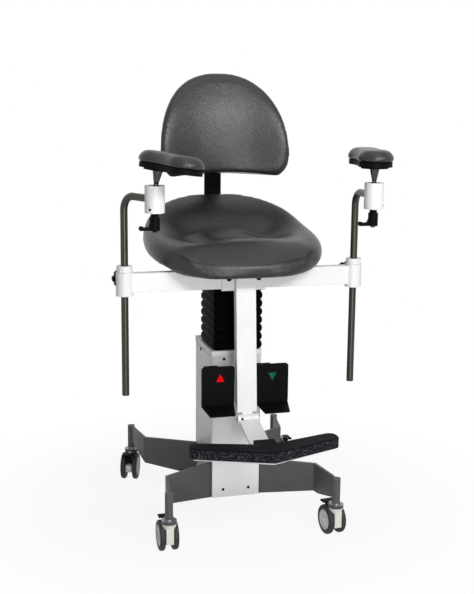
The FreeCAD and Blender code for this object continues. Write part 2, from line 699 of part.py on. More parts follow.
def leg_shape(across, along):
    exit_point = Vector(half_column.value, S.leg_exit_y.value, 0)
    bend = Vector(S.leg_bend_x.value, S.leg_bend_y.value, 0)
    end = Vector(S.caster_track.value / 2, S.caster_base.value / 2, 0)
    inward = (bend - exit_point).normalize()
    root = exit_point - inward * S.leg_root_depth.value
    outward = (end - bend).normalize()
    half = S.leg_thickness.value / 2
    first = Vector(-inward.y, inward.x, 0)
    second = Vector(-outward.y, outward.x, 0)
    mitre = (first + second) * (half / (1 + first.dot(second)))
    outline = [root + first * half, bend + mitre, end + second * half,
               end - second * half, bend - mitre, root - first * half]
    plan = Part.Face(Part.makePolygon(outline + outline[:1]))
    low = S.column_bottom.value
    high = max(S.leg_bend_high.value, low + S.leg_root_height.value, S.leg_end_high.value)
    plan.translate(Vector(0, 0, low))
    plate = plan.extrude(Vector(0, 0, high - low))
    edge_line = [
        Vector(root.x - half, 0, low), Vector(half_column.value, 0, low),
        Vector(bend.x, 0, S.leg_bend_low.value), Vector(end.x, 0, S.leg_end_low.value),
        Vector(end.x, 0, S.leg_end_high.value), Vector(bend.x, 0, S.leg_bend_high.value),
        Vector(half_column.value, 0, low + S.leg_root_height.value),
        Vector(root.x - half, 0, low + S.leg_root_height.value),
    ]
    reach = end.y + S.leg_tube_diameter.value
    side = Part.Face(Part.makePolygon(edge_line + edge_line[:1])).extrude(Vector(0, reach, 0))
    tube = Part.makeCylinder(S.leg_tube_diameter.value / 2, high, end)
    leg = plate.common(side).cut(tube)
    if across < 0:
        leg = leg.mirror(Vector(0, 0, 0), X_AXIS)
    if along < 0:
        leg = leg.mirror(Vector(0, 0, 0), Y_AXIS)
    return leg.Solids[0]


node("legs", formed("leg_plates", Part.makeCompound(
    [leg_shape(across, along) for _, across, along, _ in caster_places])))

leg_tubes = []
for place, across, along, _ in caster_places:
    x = S.caster_track / 2 * across
    y = S.caster_base / 2 * along
    leg_tubes.append(cut(
        "leg_tube_" + place,
        rod("tube_" + place, "z", S.leg_tube_diameter / 2, tube_bottom, tube_top, x, y),
        rod("tube_hole_" + place, "z", S.stem_pin_diameter / 2 + S.running_clearance,
            tube_bottom, pin_top + S.moving_gap, x, y)))
node("leg_tubes", group("tubes_of_the_legs", *leg_tubes))


# Base core: a welded box whose cut corners carry the legs

def core_corner(across, along):
    """The two ends of the face that a leg's root stands on."""
    run_x = S.leg_bend_x - half_column
    run_y = S.leg_bend_y - S.leg_exit_y
    length = Size(math.hypot(run_x.value, run_y.value), f"sqrt({run_x.text} ^ 2 + {run_y.text} ^ 2)")
    root_x = half_column - run_x * S.leg_root_depth / length
    root_y = S.leg_exit_y - run_y * S.leg_root_depth / length
    on_side = (core_half_width, root_y - run_x * (core_half_width - root_x) / run_y)
    on_face = (root_x - run_y * (core_half_depth - root_y) / run_x, core_half_depth)
    return [(x * across, y * along) for x, y in (on_side, on_face)]


core = new_body("core_box")
corners = (core_corner(1, 1) + core_corner(-1, 1)[::-1] + core_corner(-1, -1) + core_corner(1, -1)[::-1])
pad(core, polygon(new_sketch(core, "core_outline", "XY_Plane", S.column_bottom), corners),
    S.leg_root_height)
inside = rectangle(new_sketch(core, "core_inside", "XY_Plane", S.column_bottom + S.leg_root_height),
                   (S.core_wall - core_half_width, core_half_width - S.core_wall),
                   (S.core_wall - core_half_depth, core_half_depth - S.core_wall))
pocket(core, inside, S.leg_root_height - S.core_floor)
node("base_core", core)


# Column covers: two bent sheets that meet at the seam, slotted for the legs

def column_cover(label, face_y, seam_y, slot_sign, face_screws):
    cover = new_body(label + "_sheet")
    inner = half_column - S.cover_thickness
    wall = S.cover_thickness * slot_sign
    outline = [(-half_column, seam_y), (-half_column, face_y), (half_column, face_y), (half_column, seam_y),
               (inner, seam_y), (inner, face_y - wall), (-inner, face_y - wall), (-inner, seam_y)]
    height = cover_top - S.column_bottom
    pad(cover, polygon(new_sketch(cover, label + "_outline", "XY_Plane", S.column_bottom), outline), height)
    face = face_y.value

    def outer_corner(edge):
        return runs_along(edge, Z_AXIS) and abs(edge.CenterOfMass.y - face) < 0.01

    round_edges(cover, label + "_corners", S.cover_corner, outer_corner)
    run_x = S.leg_bend_x - half_column
    run_y = S.leg_bend_y - S.leg_exit_y
    length = Size(math.hypot(run_x.value, run_y.value), f"sqrt({run_x.text} ^ 2 + {run_y.text} ^ 2)")
    slot_half = S.leg_thickness * length / run_x / 2 + S.cover_thickness * run_y / run_x + S.cover_slot_gap
    slot_y = S.leg_exit_y * slot_sign
    slot = rectangle(new_sketch(cover, label + "_slots", "YZ_Plane"),
                     (slot_y - slot_half, slot_y + slot_half),
                     (S.column_bottom - S.cover_slot_gap,
                      S.column_bottom + S.leg_root_height + S.cover_slot_gap))
    pocket(cover, slot, S.column_width * 2, "Symmetric")
    hole = S.screw_shank_diameter / 2 + S.bolt_hole_gap
    if face_screws:
        drill = new_sketch(cover, label + "_face_holes", "XZ_Plane", -face_y + wall * 2)
        for x in (-S.front_screw_x, S.front_screw_x):
            for z in (S.column_bottom + S.front_screw_low, S.column_top - S.top_screw_drop):
                circle(drill, x, z, hole)
        pocket(cover, drill, S.cover_thickness * 5, reverse=True)
        bore = new_sketch(cover, label + "_side_holes", "YZ_Plane")
        for z in (S.column_bottom + S.side_screw_low, S.column_top - S.top_screw_drop):
            circle(bore, S.side_screw_y, z, hole)
        pocket(cover, bore, S.column_width * 2, "Symmetric")
    return node(label, cover)


column_cover("front_cover", -column_face, S.cover_seam_y, -1, True)
column_cover("rear_cover", column_face, S.cover_seam_y + S.cover_gap * 2, 1, False)


def screw(name, axis, outward, face, first, second):
    """A pan-head screw whose shank fills the cover's hole."""
    head_end = face + S.screw_head_height * outward
    shank_end = face - S.cover_thickness * outward
    low, high = (head_end, face) if outward < 0 else (face, head_end)
    head = rod(name + "_head", axis, S.screw_head_diameter / 2, low, high, first, second)
    low, high = (face, shank_end) if outward < 0 else (shank_end, face)
    shank = rod(name + "_shank", axis, S.screw_shank_diameter / 2, low, high, first, second)
    return fuse(name, head, shank)


screws = []
for side, sign in SIDES:
    for level, low_z in (("low", S.column_bottom + S.front_screw_low),
                         ("top", S.column_top - S.top_screw_drop)):
        screws.append(screw(f"front_screw_{side}_{level}", "y", -1, -column_face, S.front_screw_x * sign,
                            low_z))
    for level, low_z in (("low", S.column_bottom + S.side_screw_low),
                         ("top", S.column_top - S.top_screw_drop)):
        screws.append(screw(f"side_screw_{side}_{level}", "x", sign, half_column * sign, S.side_screw_y,
                            low_z))
node("cover_screws", group("screws_of_the_covers", *screws))

skirt_half_width = core_half_width - S.cap_skirt_wall
skirt_half_depth = core_half_depth - S.cap_skirt_wall
hole_half_width = inner_half_width + S.cap_hole_gap
hole_half_depth = inner_half_depth + S.cap_hole_gap
node("top_cap", cut(
    "cap_of_the_column",
    fuse("cap_body",
         box("cap_plate", (-half_column, half_column), (-column_face, column_face),
             (cap_bottom, S.column_top)),
         box("cap_skirt_body", (-core_half_width, core_half_width), (-core_half_depth, core_half_depth),
             (cap_bottom - S.cap_skirt, cap_bottom))),
    box("cap_skirt_inside", (-skirt_half_width, skirt_half_width), (-skirt_half_depth, skirt_half_depth),
        (cap_bottom - S.cap_skirt, cap_bottom)),
    box("cap_hole", (-hole_half_width, hole_half_width), (-hole_half_depth, hole_half_depth),
        (cap_bottom, S.column_top))))


# Lift: two square guides and an actuator

def square_tube(name, half_width, half_depth, wall, low, high):
    return cut(name,
               box(name + "_outside", (-half_width, half_width), (-half_depth, half_depth), (low, high)),
               box(name + "_inside", (wall - half_width, half_width - wall),
                   (wall - half_depth, half_depth - wall),
                   (low, high)))


node("lift_outer_guide", square_tube("outer_guide", S.guide_width / 2, S.guide_depth / 2, S.guide_wall,
                                     core_floor_top, cap_bottom))
node("lift_inner_guide", square_tube("inner_guide", inner_half_width, inner_half_depth, S.inner_guide_wall,
                                     cap_bottom - S.guide_overlap, carrier_bottom))
piston_bottom = core_floor_top + S.actuator_height - S.piston_overlap
node("lift_actuator", cut(
    "actuator",
    rod("actuator_body", "z", S.actuator_diameter / 2, core_floor_top, core_floor_top + S.actuator_height),
    rod("actuator_bore", "z", S.piston_diameter / 2 + S.running_clearance,
        piston_bottom - S.lift_travel - S.core_floor, core_floor_top + S.actuator_height)))
node("lift_piston", rod("piston", "z", S.piston_diameter / 2, piston_bottom, carrier_bottom))


# Bellows: square folds of a ruled loft, with their hollow

def bellows_shape(wall):
    folds = int(S.bellows_folds.value)
    height = S.bellows_height.value - S.moving_gap.value
    pitch = height / folds
    bottom = S.column_top.value

    def ring(z, inset):
        half_width = S.bellows_width.value / 2 - inset - wall
        front = inset + wall - S.bellows_ahead.value
        rear = S.bellows_rear.value - inset - wall
        left = S.bellows_side.value - half_width
        right = S.bellows_side.value + half_width
        corners_at = [Vector(left, front, z), Vector(right, front, z), Vector(right, rear, z),
                      Vector(left, rear, z)]
        return Part.makePolygon(corners_at + corners_at[:1])

    rings = [ring(bottom, S.bellows_fold.value)]
    for fold in range(folds):
        low = bottom + fold * pitch
        for share, inset in ((0.03, 1), (0.3, 0), (0.7, 0), (0.97, 1)):
            rings.append(ring(low + share * pitch, inset * S.bellows_fold.value))
    rings.append(ring(bottom + height, S.bellows_fold.value))
    return Part.makeLoft(rings, True, True)


node("bellows", formed("bellows_skin", bellows_shape(0).cut(bellows_shape(S.bellows_wall.value)).Solids[0]))


# Pedals: L-shaped plates on hinges in front of the column, each above a switch

pivot_y = -column_face - S.pedal_pivot_reach
plate_y = -column_face - S.pedal_reach
base_front = -column_face - S.pedal_base_thickness
hinge_bases = []
switches = []
for label, sign in (("pedal_up", -1), ("pedal_down", 1)):
    inner_x = S.pedal_inner_x * sign
    outer_x = (S.pedal_inner_x + S.pedal_width) * sign
    left, right = (outer_x, inner_x) if sign < 0 else (inner_x, outer_x)
    middle = (S.pedal_inner_x + S.pedal_width / 2) * sign
    half_barrel = S.pedal_barrel_width / 2
    plate = new_body(label + "_plate")
    face = rectangle(new_sketch(plate, label + "_face", "XZ_Plane", -plate_y), (left, right),
                     (pedal_bottom, pedal_bottom + S.pedal_height))
    pad(plate, face, S.pedal_thickness)
    round_edges(plate, label + "_corners", S.pedal_corner, lambda edge: runs_along(edge, Y_AXIS))
    lip = doc.addObject("Part::Wedge", label + "_lip")
    lip_edges = {
        "Xmin": left + S.lip_taper, "Xmax": right - S.lip_taper,
        "Ymin": plate_y - S.lip_length, "Ymax": plate_y,
        "Zmin": pedal_bottom - S.lip_drop, "Zmax": pedal_bottom - S.lip_drop + S.pedal_thickness,
        "X2min": left, "X2max": right, "Z2min": pedal_bottom, "Z2max": pedal_bottom + S.pedal_thickness,
    }
    for field, size in lip_edges.items():
        setattr(lip, field, size.value)
        bind(lip, field, size)
    arm = box(label + "_arm", (middle - half_barrel, middle + half_barrel), (plate_y, pivot_y),
              (pedal_pivot_z - S.pedal_thickness, pedal_pivot_z + S.pedal_thickness))
    barrel = rod(label + "_barrel", "x", S.pedal_barrel_diameter / 2, middle - half_barrel,
                 middle + half_barrel,
                 pivot_y, pedal_pivot_z)
    finger = box(label + "_finger", (middle - S.switch_width / 2, middle + S.switch_width / 2),
                 (pivot_y - S.pedal_finger_thickness / 2, pivot_y + S.pedal_finger_thickness / 2),
                 (pedal_pivot_z - S.pedal_finger_drop, pedal_pivot_z))
    pin_hole = rod(label + "_hole", "x", S.pedal_pin_diameter / 2 + S.running_clearance,
                   middle - S.pedal_width,
                   middle + S.pedal_width, pivot_y, pedal_pivot_z)
    node(label, cut(label + "_lever", fuse(label + "_body", plate, lip, arm, barrel, finger), pin_hole))

    ear_inner = half_barrel + S.moving_gap
    ear_outer = ear_inner + S.pedal_ear_width
    base = box(label + "_base", (middle - ear_outer, middle + ear_outer), (base_front, -column_face),
               (pedal_pivot_z - S.pedal_base_height / 2, pedal_pivot_z + S.pedal_base_height / 2))
    ears = []
    for side, way in SIDES:
        low, high = (-ear_outer, -ear_inner) if way < 0 else (ear_inner, ear_outer)
        ears.append(box(f"{label}_ear_{side}", (middle + low, middle + high), (pivot_y, base_front),
                        (pedal_pivot_z - S.pedal_barrel_diameter / 2,
                         pedal_pivot_z + S.pedal_barrel_diameter / 2)))
        ears.append(rod(f"{label}_ear_round_{side}", "x", S.pedal_barrel_diameter / 2, middle + low,
                        middle + high,
                        pivot_y, pedal_pivot_z))
    pin = rod(label + "_pin", "x", S.pedal_pin_diameter / 2, middle - ear_outer, middle + ear_outer,
              pivot_y,
              pedal_pivot_z)
    hinge_bases.append(fuse(label + "_hinge", base, *ears, pin))
    switch_top = pedal_pivot_z - S.pedal_base_height / 2 - S.moving_gap
    switches.append(box(label + "_switch", (middle - S.switch_width / 2, middle + S.switch_width / 2),
                        (-column_face - S.switch_depth, -column_face),
                        (switch_top - S.switch_height, switch_top)))
node("pedal_hinges", group("hinges_of_the_pedals", *hinge_bases))
node("pedal_switches", group("switches_of_the_pedals", *switches))


# Carrier: plate on the lift, with the flange that holds the beam

flange_rear = beam_rear + S.carrier_flange_thickness
bolt_z = beam_bottom + S.bolt_rise


def bolt_holes(name, low, high):
    radius = S.bolt_diameter / 2 + S.bolt_hole_gap
    return [rod(f"{name}_{side}", "y", radius, low, high, S.bolt_x * sign, bolt_z) for side, sign in SIDES]


node("carrier_plate", cut(
    "carrier",
    fuse("carrier_body",
         box("carrier_flat", (-S.carrier_width / 2, S.carrier_width / 2), (beam_rear, S.carrier_rear),
             (carrier_bottom, carrier_top)),
         box("carrier_flange", (-S.carrier_width / 2, S.carrier_width / 2), (beam_rear, flange_rear),
             (carrier_bottom, carrier_top + S.carrier_flange_height))),
    *bolt_holes("carrier_hole", beam_rear, flange_rear)))

collar_holes = []
collars = []
for side, sign in SIDES:
    x = S.arm_spread / 2 * sign
    collars.append(rod("collar_" + side, "z", S.collar_diameter / 2, collar_bottom, collar_top, x,
                       -S.beam_y))
    collar_holes.append(rod("collar_bore_" + side, "z", S.bush_diameter / 2 + S.running_clearance,
                            collar_bottom, collar_top, x, -S.beam_y))
    collar_holes.append(rod("collar_seat_" + side, "z", S.bush_flange_diameter / 2 + S.moving_gap,
                            collar_top,
                            collar_top + S.bush_flange_height, x, -S.beam_y))
    collar_holes.append(rod("collar_tap_" + side, "y", S.collar_screw_diameter / 2 + S.bolt_hole_gap,
                            -S.beam_y,
                            S.collar_diameter / 2 - S.beam_y, x, collar_knob_z))
hollow = S.arm_spread / 2 - S.collar_diameter / 2
node("arm_beam", cut(
    "beam",
    fuse("beam_body",
         box("beam_tube", (-S.arm_spread / 2, S.arm_spread / 2), (beam_front, beam_rear),
             (beam_bottom, beam_top)),
         *collars),
    box("beam_hollow", (-hollow, hollow), (beam_front + S.beam_wall, beam_rear - S.beam_wall),
        (beam_bottom + S.beam_wall, beam_top - S.beam_wall)),
    *bolt_holes("beam_hole", beam_front, beam_rear), *collar_holes))

node("beam_bracket", cut(
    "bracket",
    box("bracket_plate", (-S.bracket_width / 2, S.bracket_width / 2), (bracket_front, beam_front),
        (beam_bottom - S.bracket_drop, beam_bottom - S.bracket_drop + S.bracket_height)),
    *bolt_holes("bracket_hole", bracket_front, beam_front)))

bolts = []
for side, sign in SIDES:
    x = S.bolt_x * sign
    bolts.append(fuse(
        "bolt_" + side,
        rod("bolt_head_" + side, "y", S.bolt_head_diameter / 2, bracket_front - S.bolt_head_height,
            bracket_front,
            x, bolt_z),
        rod("bolt_shank_" + side, "y", S.bolt_diameter / 2, bracket_front, flange_rear + S.bolt_nut_height,
            x, bolt_z),
        rod("bolt_nut_" + side, "y", S.bolt_head_diameter / 2, flange_rear, flange_rear + S.bolt_nut_height,
            x, bolt_z)))
node("bracket_bolts", group("bolts_of_the_bracket", *bolts))


# Seat: a tilted frame of its own, u across, v rearwards along the seat, w out of its plane

seat_turn = Rotation(X_AXIS, S.seat_tilt.value)
seat_sine = sine(S.seat_tilt)
seat_cosine = cosine(S.seat_tilt)
pan_top = -S.seat_foot - S.pan_gap
pan_bottom = pan_top - S.pan_thickness


def on_seat(v, w):
    """Y and Z of a point in the seat's frame."""
    v = as_size(v)
    w = as_size(w)
    return S.seat_y + v * seat_cosine - w * seat_sine, seat_z + v * seat_sine + w * seat_cosine


pan = doc.addObject("Part::Box", "pan")
bind(pan, "Length", S.pan_width)
bind(pan, "Width", S.pan_front + S.pan_rear)
bind(pan, "Height", S.pan_thickness)
node("seat_pan", put(pan, -S.pan_width / 2, *on_seat(-S.pan_front, pan_bottom), seat_turn))

saddle = new_body("seat_saddle")
front_v = (S.seat_y + S.seat_bracket_front) / seat_cosine
rear_v = (S.seat_bracket_rear - S.seat_y) / seat_cosine
cheek = [(-S.seat_bracket_front, carrier_top), (S.seat_bracket_rear, carrier_top),
         on_seat(rear_v + pan_bottom * seat_sine, pan_bottom),
         on_seat(pan_bottom * seat_sine - front_v, pan_bottom)]
pad(saddle, polygon(new_sketch(saddle, "saddle_side", "YZ_Plane"), cheek), S.seat_bracket_width,
    "Symmetric")
channel = S.seat_bracket_width / 2 - S.seat_bracket_wall
trough = rectangle(new_sketch(saddle, "saddle_trough", "XY_Plane", carrier_top + S.seat_bracket_web),
                   (-channel, channel), (-S.seat_bracket_front * 2, S.seat_bracket_rear * 2))
pocket(saddle, trough, seat_z - carrier_top, reverse=True)
node("seat_bracket", saddle)


def seat_cushion_shape():
    """Sections across the seat, lofted from the front lip to the raised rear rim, with a dished top."""
    depth = S.seat_half_depth.value
    power = S.seat_squareness.value
    rim = S.seat_rim.value
    sections = []
    for share in (-0.985, -0.9, -0.72, -0.5, -0.2, 0.15, 0.5, 0.75, 0.92, 0.985):
        v = share * depth
        width = S.seat_half_width.value * (1 - abs(share) ** power) ** (1 / power)
        bulge = (1 - abs(share) ** 4) ** 0.5
        lift = S.seat_rear_rise.value * share ** 2 if share > 0 else -S.seat_lip_drop.value * share ** 2
        dish = S.seat_dish.value * math.exp(-((share - 0.2) / 0.42) ** 2)
        ridge = S.seat_ridge.value * math.exp(-((share + 0.6) / 0.3) ** 2)
        foot = lift * 0.6 - rim * (0.5 + 0.7 * bulge) if share > 0 else lift - rim * (0.5 + 0.7 * bulge)
        side = lift + (rim * 0.1 if share < 0 else 0)
        top = lift + rim * (0.35 + 0.6 * bulge)
        middle = top - dish + ridge + rim * 0.12
        foot_left = Vector(-width * 0.8, v, foot)
        foot_right = Vector(width * 0.8, v, foot)
        top_left = Vector(-width * 0.82, v, top)
        top_right = Vector(width * 0.82, v, top)
        sections.append(Part.Wire([
            Part.LineSegment(foot_left, foot_right).toShape(),
            Part.Arc(foot_right, Vector(width, v, side), top_right).toShape(),
            Part.Arc(top_right, Vector(0, v, middle), top_left).toShape(),
            Part.Arc(top_left, Vector(-width, v, side), foot_left).toShape(),
        ]))
    cushion = Part.makeLoft(sections, True, False)
    wide = S.seat_half_width.value * 2
    below = Part.makeBox(wide, depth * 2, rim * 4,
                         Vector(-wide / 2, -S.seat_step.value, -S.seat_foot.value - rim * 4))
    return cushion.cut(below).Solids[0]


cushion = formed("seat_foam", seat_cushion_shape())
node("seat_cushion", put(cushion, 0, S.seat_y, seat_z, seat_turn))


# Footrest: a bar that hangs from the beam, and a hinged arm with its plate and pad

bar_back = bracket_front
bar_front = bracket_front - S.bar_depth
slant_top = beam_bottom - S.bracket_drop
bar = new_body("hanging_bar")
bar_side = [(bar_front, bar_top), (bar_back, bar_top), (bar_back, slant_top),
            (bar_back - S.bar_slant, bar_end), (bar_front - S.bar_slant, bar_end), (bar_front, slant_top)]
pad(bar, polygon(new_sketch(bar, "bar_side", "YZ_Plane"), bar_side), S.bar_width, "Symmetric")
barrel_radius = S.hinge_diameter / 2
tongue = [(bar_back - S.bar_slant, bar_end), (bar_front - S.bar_slant, bar_end),
          (-S.hinge_y - barrel_radius * 0.6, hinge_z), (barrel_radius * 0.6 - S.hinge_y, hinge_z)]
pad(bar, polygon(new_sketch(bar, "bar_tongue", "YZ_Plane"), tongue), S.hinge_knuckle, "Symmetric")
pad(bar, circle(new_sketch(bar, "bar_knuckle", "YZ_Plane"), -S.hinge_y, hinge_z, barrel_radius),
    S.hinge_knuckle, "Symmetric")
pocket(bar, circle(new_sketch(bar, "bar_pin_hole", "YZ_Plane"), -S.hinge_y, hinge_z,
                   S.hinge_pin_diameter / 2 + S.running_clearance), S.bar_width, "Symmetric")
node("footrest_bar", bar)
node("footrest_pin", rod("pin_of_the_footrest", "x", S.hinge_pin_diameter / 2, -S.hinge_width / 2,
                         S.hinge_width / 2, -S.hinge_y, hinge_z))

foot_plate_bottom = foot_pad_z - S.foot_plate_thickness
foot_arm = new_body("folding_arm")
arm_side = [(-S.hinge_y, hinge_z + S.foot_arm_thickness / 2),
            (-S.hinge_y, hinge_z - S.foot_arm_thickness / 2),
            (-S.foot_arm_end_y, foot_plate_bottom), (-S.foot_apex_rear, foot_plate_bottom),
            (-S.foot_apex_rear, foot_pad_z), (-S.foot_arm_end_y, foot_pad_z)]
pad(foot_arm, polygon(new_sketch(foot_arm, "arm_side", "YZ_Plane"), arm_side), S.bar_width, "Symmetric")
pad(foot_arm, circle(new_sketch(foot_arm, "arm_knuckles", "YZ_Plane"), -S.hinge_y, hinge_z, barrel_radius),
    S.hinge_width, "Symmetric")


def foot_outline(inset, tab):
    """Corners of the chevron in plan, from the left end around the front, with an optional tab behind."""
    half = S.foot_half_span - inset
    corners_of = [(-half, -S.foot_end_rear - inset), (-half, inset - S.foot_end_front),
                  (0, inset - S.foot_apex_front), (half, inset - S.foot_end_front),
                  (half, -S.foot_end_rear - inset)]
    if not tab:
        return corners_of + [(0, -S.foot_apex_rear - inset)]
    fall = (S.foot_apex_rear - S.foot_end_rear) / S.foot_half_span
    tab_half = S.bar_width / 2
    shoulder = -S.foot_apex_rear + fall * tab_half
    return corners_of + [(tab_half, shoulder), (tab_half, -S.foot_arm_end_y),
                         (-tab_half, -S.foot_arm_end_y), (-tab_half, shoulder)]


carrying = polygon(new_sketch(foot_arm, "arm_plate", "XY_Plane", foot_plate_bottom),
                   foot_outline(S.foot_plate_inset, False))
pad(foot_arm, carrying, S.foot_plate_thickness)
gap_room = S.hinge_diameter / 2 + S.moving_gap * 2
middle_gap = rectangle(new_sketch(foot_arm, "arm_gap", "YZ_Plane"),
                       (-S.hinge_y - gap_room, gap_room - S.hinge_y),
                       (hinge_z - gap_room, hinge_z + gap_room))
pocket(foot_arm, middle_gap, S.hinge_knuckle + S.moving_gap * 2, "Symmetric")
pocket(foot_arm, circle(new_sketch(foot_arm, "arm_pin_hole", "YZ_Plane"), -S.hinge_y, hinge_z,
                        S.hinge_pin_diameter / 2 + S.running_clearance), S.hinge_width * 2, "Symmetric")
node("footrest_arm", foot_arm)

foot_pad = new_body("rubber_tread")
pad(foot_pad, polygon(new_sketch(foot_pad, "tread_outline", "XY_Plane", foot_pad_z), foot_outline(0, True)),
    S.foot_pad_thickness)
span_end = S.foot_half_span.value
round_edges(foot_pad, "tread_ends", S.foot_end_round,
            lambda edge: runs_along(edge, Z_AXIS) and abs(abs(edge.CenterOfMass.x) - span_end) < 0.01)
tread_top = foot_pad_z.value + S.foot_pad_thickness.value
round_edges(foot_pad, "tread_edge", S.foot_edge_round,
            lambda edge: (abs(edge.BoundBox.ZMin - tread_top) < 0.01
                          and edge.CenterOfMass.y < -S.foot_apex_rear.value))
node("footrest_pad", foot_pad)


# Back: a bent bar, a sliding clamp with its knob, and a curved plate with its cushion

post = new_body("bent_post")
post_front = S.back_bar_y
post_rear = S.back_bar_y + S.back_bar_thickness
foot_start = S.seat_bracket_rear + S.moving_gap
foot_top = carrier_top + S.back_bar_thickness
post_side = [(foot_start, carrier_top), (post_rear, carrier_top), (post_rear, back_bar_top),
             (post_front, back_bar_top), (post_front, foot_top), (foot_start, foot_top)]
pad(post, polygon(new_sketch(post, "post_side", "YZ_Plane"), post_side), S.back_bar_width, "Symmetric")
inner_y = post_front.value
inner_z = foot_top.value
outer_y = post_rear.value
outer_z = carrier_top.value


def at_corner(edge, y, z):
    return runs_along(edge, X_AXIS) and math.hypot(edge.CenterOfMass.y - y, edge.CenterOfMass.z - z) < 0.01


round_edges(post, "post_inner_bend", S.back_bar_bend, lambda edge: at_corner(edge, inner_y, inner_z))
round_edges(post, "post_outer_bend", S.back_bar_bend + S.back_bar_thickness,
            lambda edge: at_corner(edge, outer_y, outer_z))
node("back_bar", post)

# The back has a frame of its own: u across, p rearwards, q up along its lean
back_turn = Rotation(X_AXIS, -S.back_lean.value)
plate_front_radius = S.back_radius.value + S.back_thickness.value / 2
plate_rear_radius = plate_front_radius + S.back_plate_thickness.value


def back_half_width(q, inset):
    """Half width of the back's outline at a height above its corners."""
    wide_at = S.back_wide_at.value
    widest = S.back_half_width.value - inset
    if q <= wide_at:
        share = (wide_at - q) / wide_at
        turn_in = max(S.back_corner_round.value - q, 0)
        corner = S.back_corner_round.value - (S.back_corner_round.value ** 2 - turn_in ** 2) ** 0.5
        return widest - (S.back_half_width.value - S.back_corner_half.value) * share ** 2 - corner
    share = (q - wide_at) / (S.back_height.value - inset - wide_at)
    return widest * (1 - share ** 2.28) ** (1 / 2.28)


def back_row(q, rear_half):
    """Points around the back cushion at one level: a crowned pad, rolled around the sitter."""
    radius = S.back_radius.value
    angle = math.asin(back_half_width(q, 0) / radius)
    from_end = min(q, S.back_height.value - q) / S.back_end_round.value
    full = (1 - (1 - min(from_end, 1)) ** 2) ** 0.5
    points = []
    for step in range(32):
        turn = math.pi * step / 16
        across = math.copysign(abs(math.cos(turn)) ** 0.62, math.cos(turn)) * angle
        outward = math.copysign(abs(math.sin(turn)) ** 0.9, math.sin(turn)) * full
        half = rear_half if outward > 0 else S.back_thickness.value / 2
        reach = radius + outward * half
        points.append(Vector(reach * math.sin(across), reach * math.cos(across) - radius, q))
    return points


def smooth_skin(rows):
    """A solid inside a smooth closed skin over rows of points, with a flat face at each end."""
    around = len(rows[0])
    columns = [[row[step] for row in rows] for step in range(around)]
    along = [4] + [1] * (len(rows) - 4) + [4]
    skin = Part.BSplineSurface()
    skin.buildFromPolesMultsKnots(columns, [1] * (around + 1), along, range(around + 1), range(len(along)),
                                  True, False, 3, 3)
    side = skin.toShape()
    ends = [Part.Face(Part.Wire([edge])) for edge in side.Edges if edge.BoundBox.ZLength < 0.001]
    shell = Part.Shell([side] + ends)
    shell.sewShape()
    return Part.Solid(shell)


def back_cushion_shape():
    """A smooth pad, cut to the plate's curve where the plate holds it, and arched below."""
    height = S.back_height.value
    rear_half = (S.back_thickness.value + S.back_plate_thickness.value) / 2
    shares = (0.012, 0.04, 0.1, 0.22, 0.4, 0.58, 0.74, 0.85, 0.92, 0.96, 0.985, 0.997)
    loft = smooth_skin([back_row(share * height, rear_half) for share in shares])
    axis = Vector(0, -S.back_radius.value, -height)
    inside = Part.makeCylinder(plate_front_radius - S.pan_gap.value, height * 3, axis)
    reach = S.back_half_width.value
    drop = S.back_arch.value
    spread = (reach ** 2 + drop ** 2) / (2 * drop)
    arch = Part.makeCylinder(spread, reach * 2, Vector(0, -reach, drop - spread), Y_AXIS)
    return loft.common(inside).cut(arch).Solids[0]


def back_plate_shape():
    """A rolled plate that follows the cushion's outline, inset all round."""
    inset = S.back_plate_inset.value
    low = inset + S.back_arch.value
    top = S.back_height.value - inset
    levels = [low + (top - low) * share for share in (0.0, 0.3, 0.6, 0.85, 0.97)]
    right = [Vector(back_half_width(q, inset), 0, q) for q in levels]
    left = [Vector(-point.x, 0, point.z) for point in right[::-1]]
    outline = right + left
    depth = S.back_radius.value
    face = Part.Face(Part.makePolygon(outline + outline[:1]))
    face.translate(Vector(0, -depth, 0))
    block = face.extrude(Vector(0, depth * 2, 0))
    axis = Vector(0, -S.back_radius.value, low - inset)
    inner = Part.makeCylinder(plate_front_radius, top, axis)
    shell = Part.makeCylinder(plate_rear_radius, top, axis).cut(inner)
    return shell.common(block).Solids[0]


def lean_back(item):
    return put(item, 0, S.back_y, back_z, back_turn)


node("back_cushion", lean_back(formed("back_foam", back_cushion_shape())))
node("back_plate", lean_back(formed("rolled_plate", back_plate_shape())))

clamp_top = clamp_bottom + S.clamp_height
clamp_rear = post_rear + S.clamp_wall
clamp_half = S.clamp_width / 2
rolled = doc.addObject("Part::Cylinder", "plate_room")
bind(rolled, "Radius", S.back_radius + S.back_thickness / 2 + S.back_plate_thickness)
bind(rolled, "Height", S.back_height * 2)
lean_sine = sine(S.back_lean)
lean_cosine = cosine(S.back_lean)
put(rolled, 0, S.back_y - S.back_radius * lean_cosine - S.back_height * lean_sine / 2,
    back_z + S.back_radius * lean_sine - S.back_height * lean_cosine / 2, back_turn)
slot_gap = S.moving_gap
node("back_clamp", cut(
    "clamp",
    box("clamp_block", (-clamp_half, clamp_half), (S.back_y, clamp_rear), (clamp_bottom, clamp_top)),
    rolled,
    box("clamp_slot", (-S.back_bar_width / 2 - slot_gap, S.back_bar_width / 2 + slot_gap),
        (post_front - slot_gap, post_rear + slot_gap), (clamp_bottom, clamp_top)),
    rod("clamp_tap", "y", S.knob_screw_diameter / 2 + S.running_clearance, post_rear, clamp_rear, 0,
        clamp_bottom + S.clamp_height / 2)))

knob = fuse(
    "knob",
    rod("knob_grip", "y", S.knob_diameter / 2, clamp_rear + S.moving_gap,
        clamp_rear + S.moving_gap + S.knob_height,
        0, clamp_bottom + S.clamp_height / 2),
    rod("knob_screw", "y", S.knob_screw_diameter / 2, post_rear + S.moving_gap * 2,
        clamp_rear + S.moving_gap, 0,
        clamp_bottom + S.clamp_height / 2))
node("back_knob", knob)


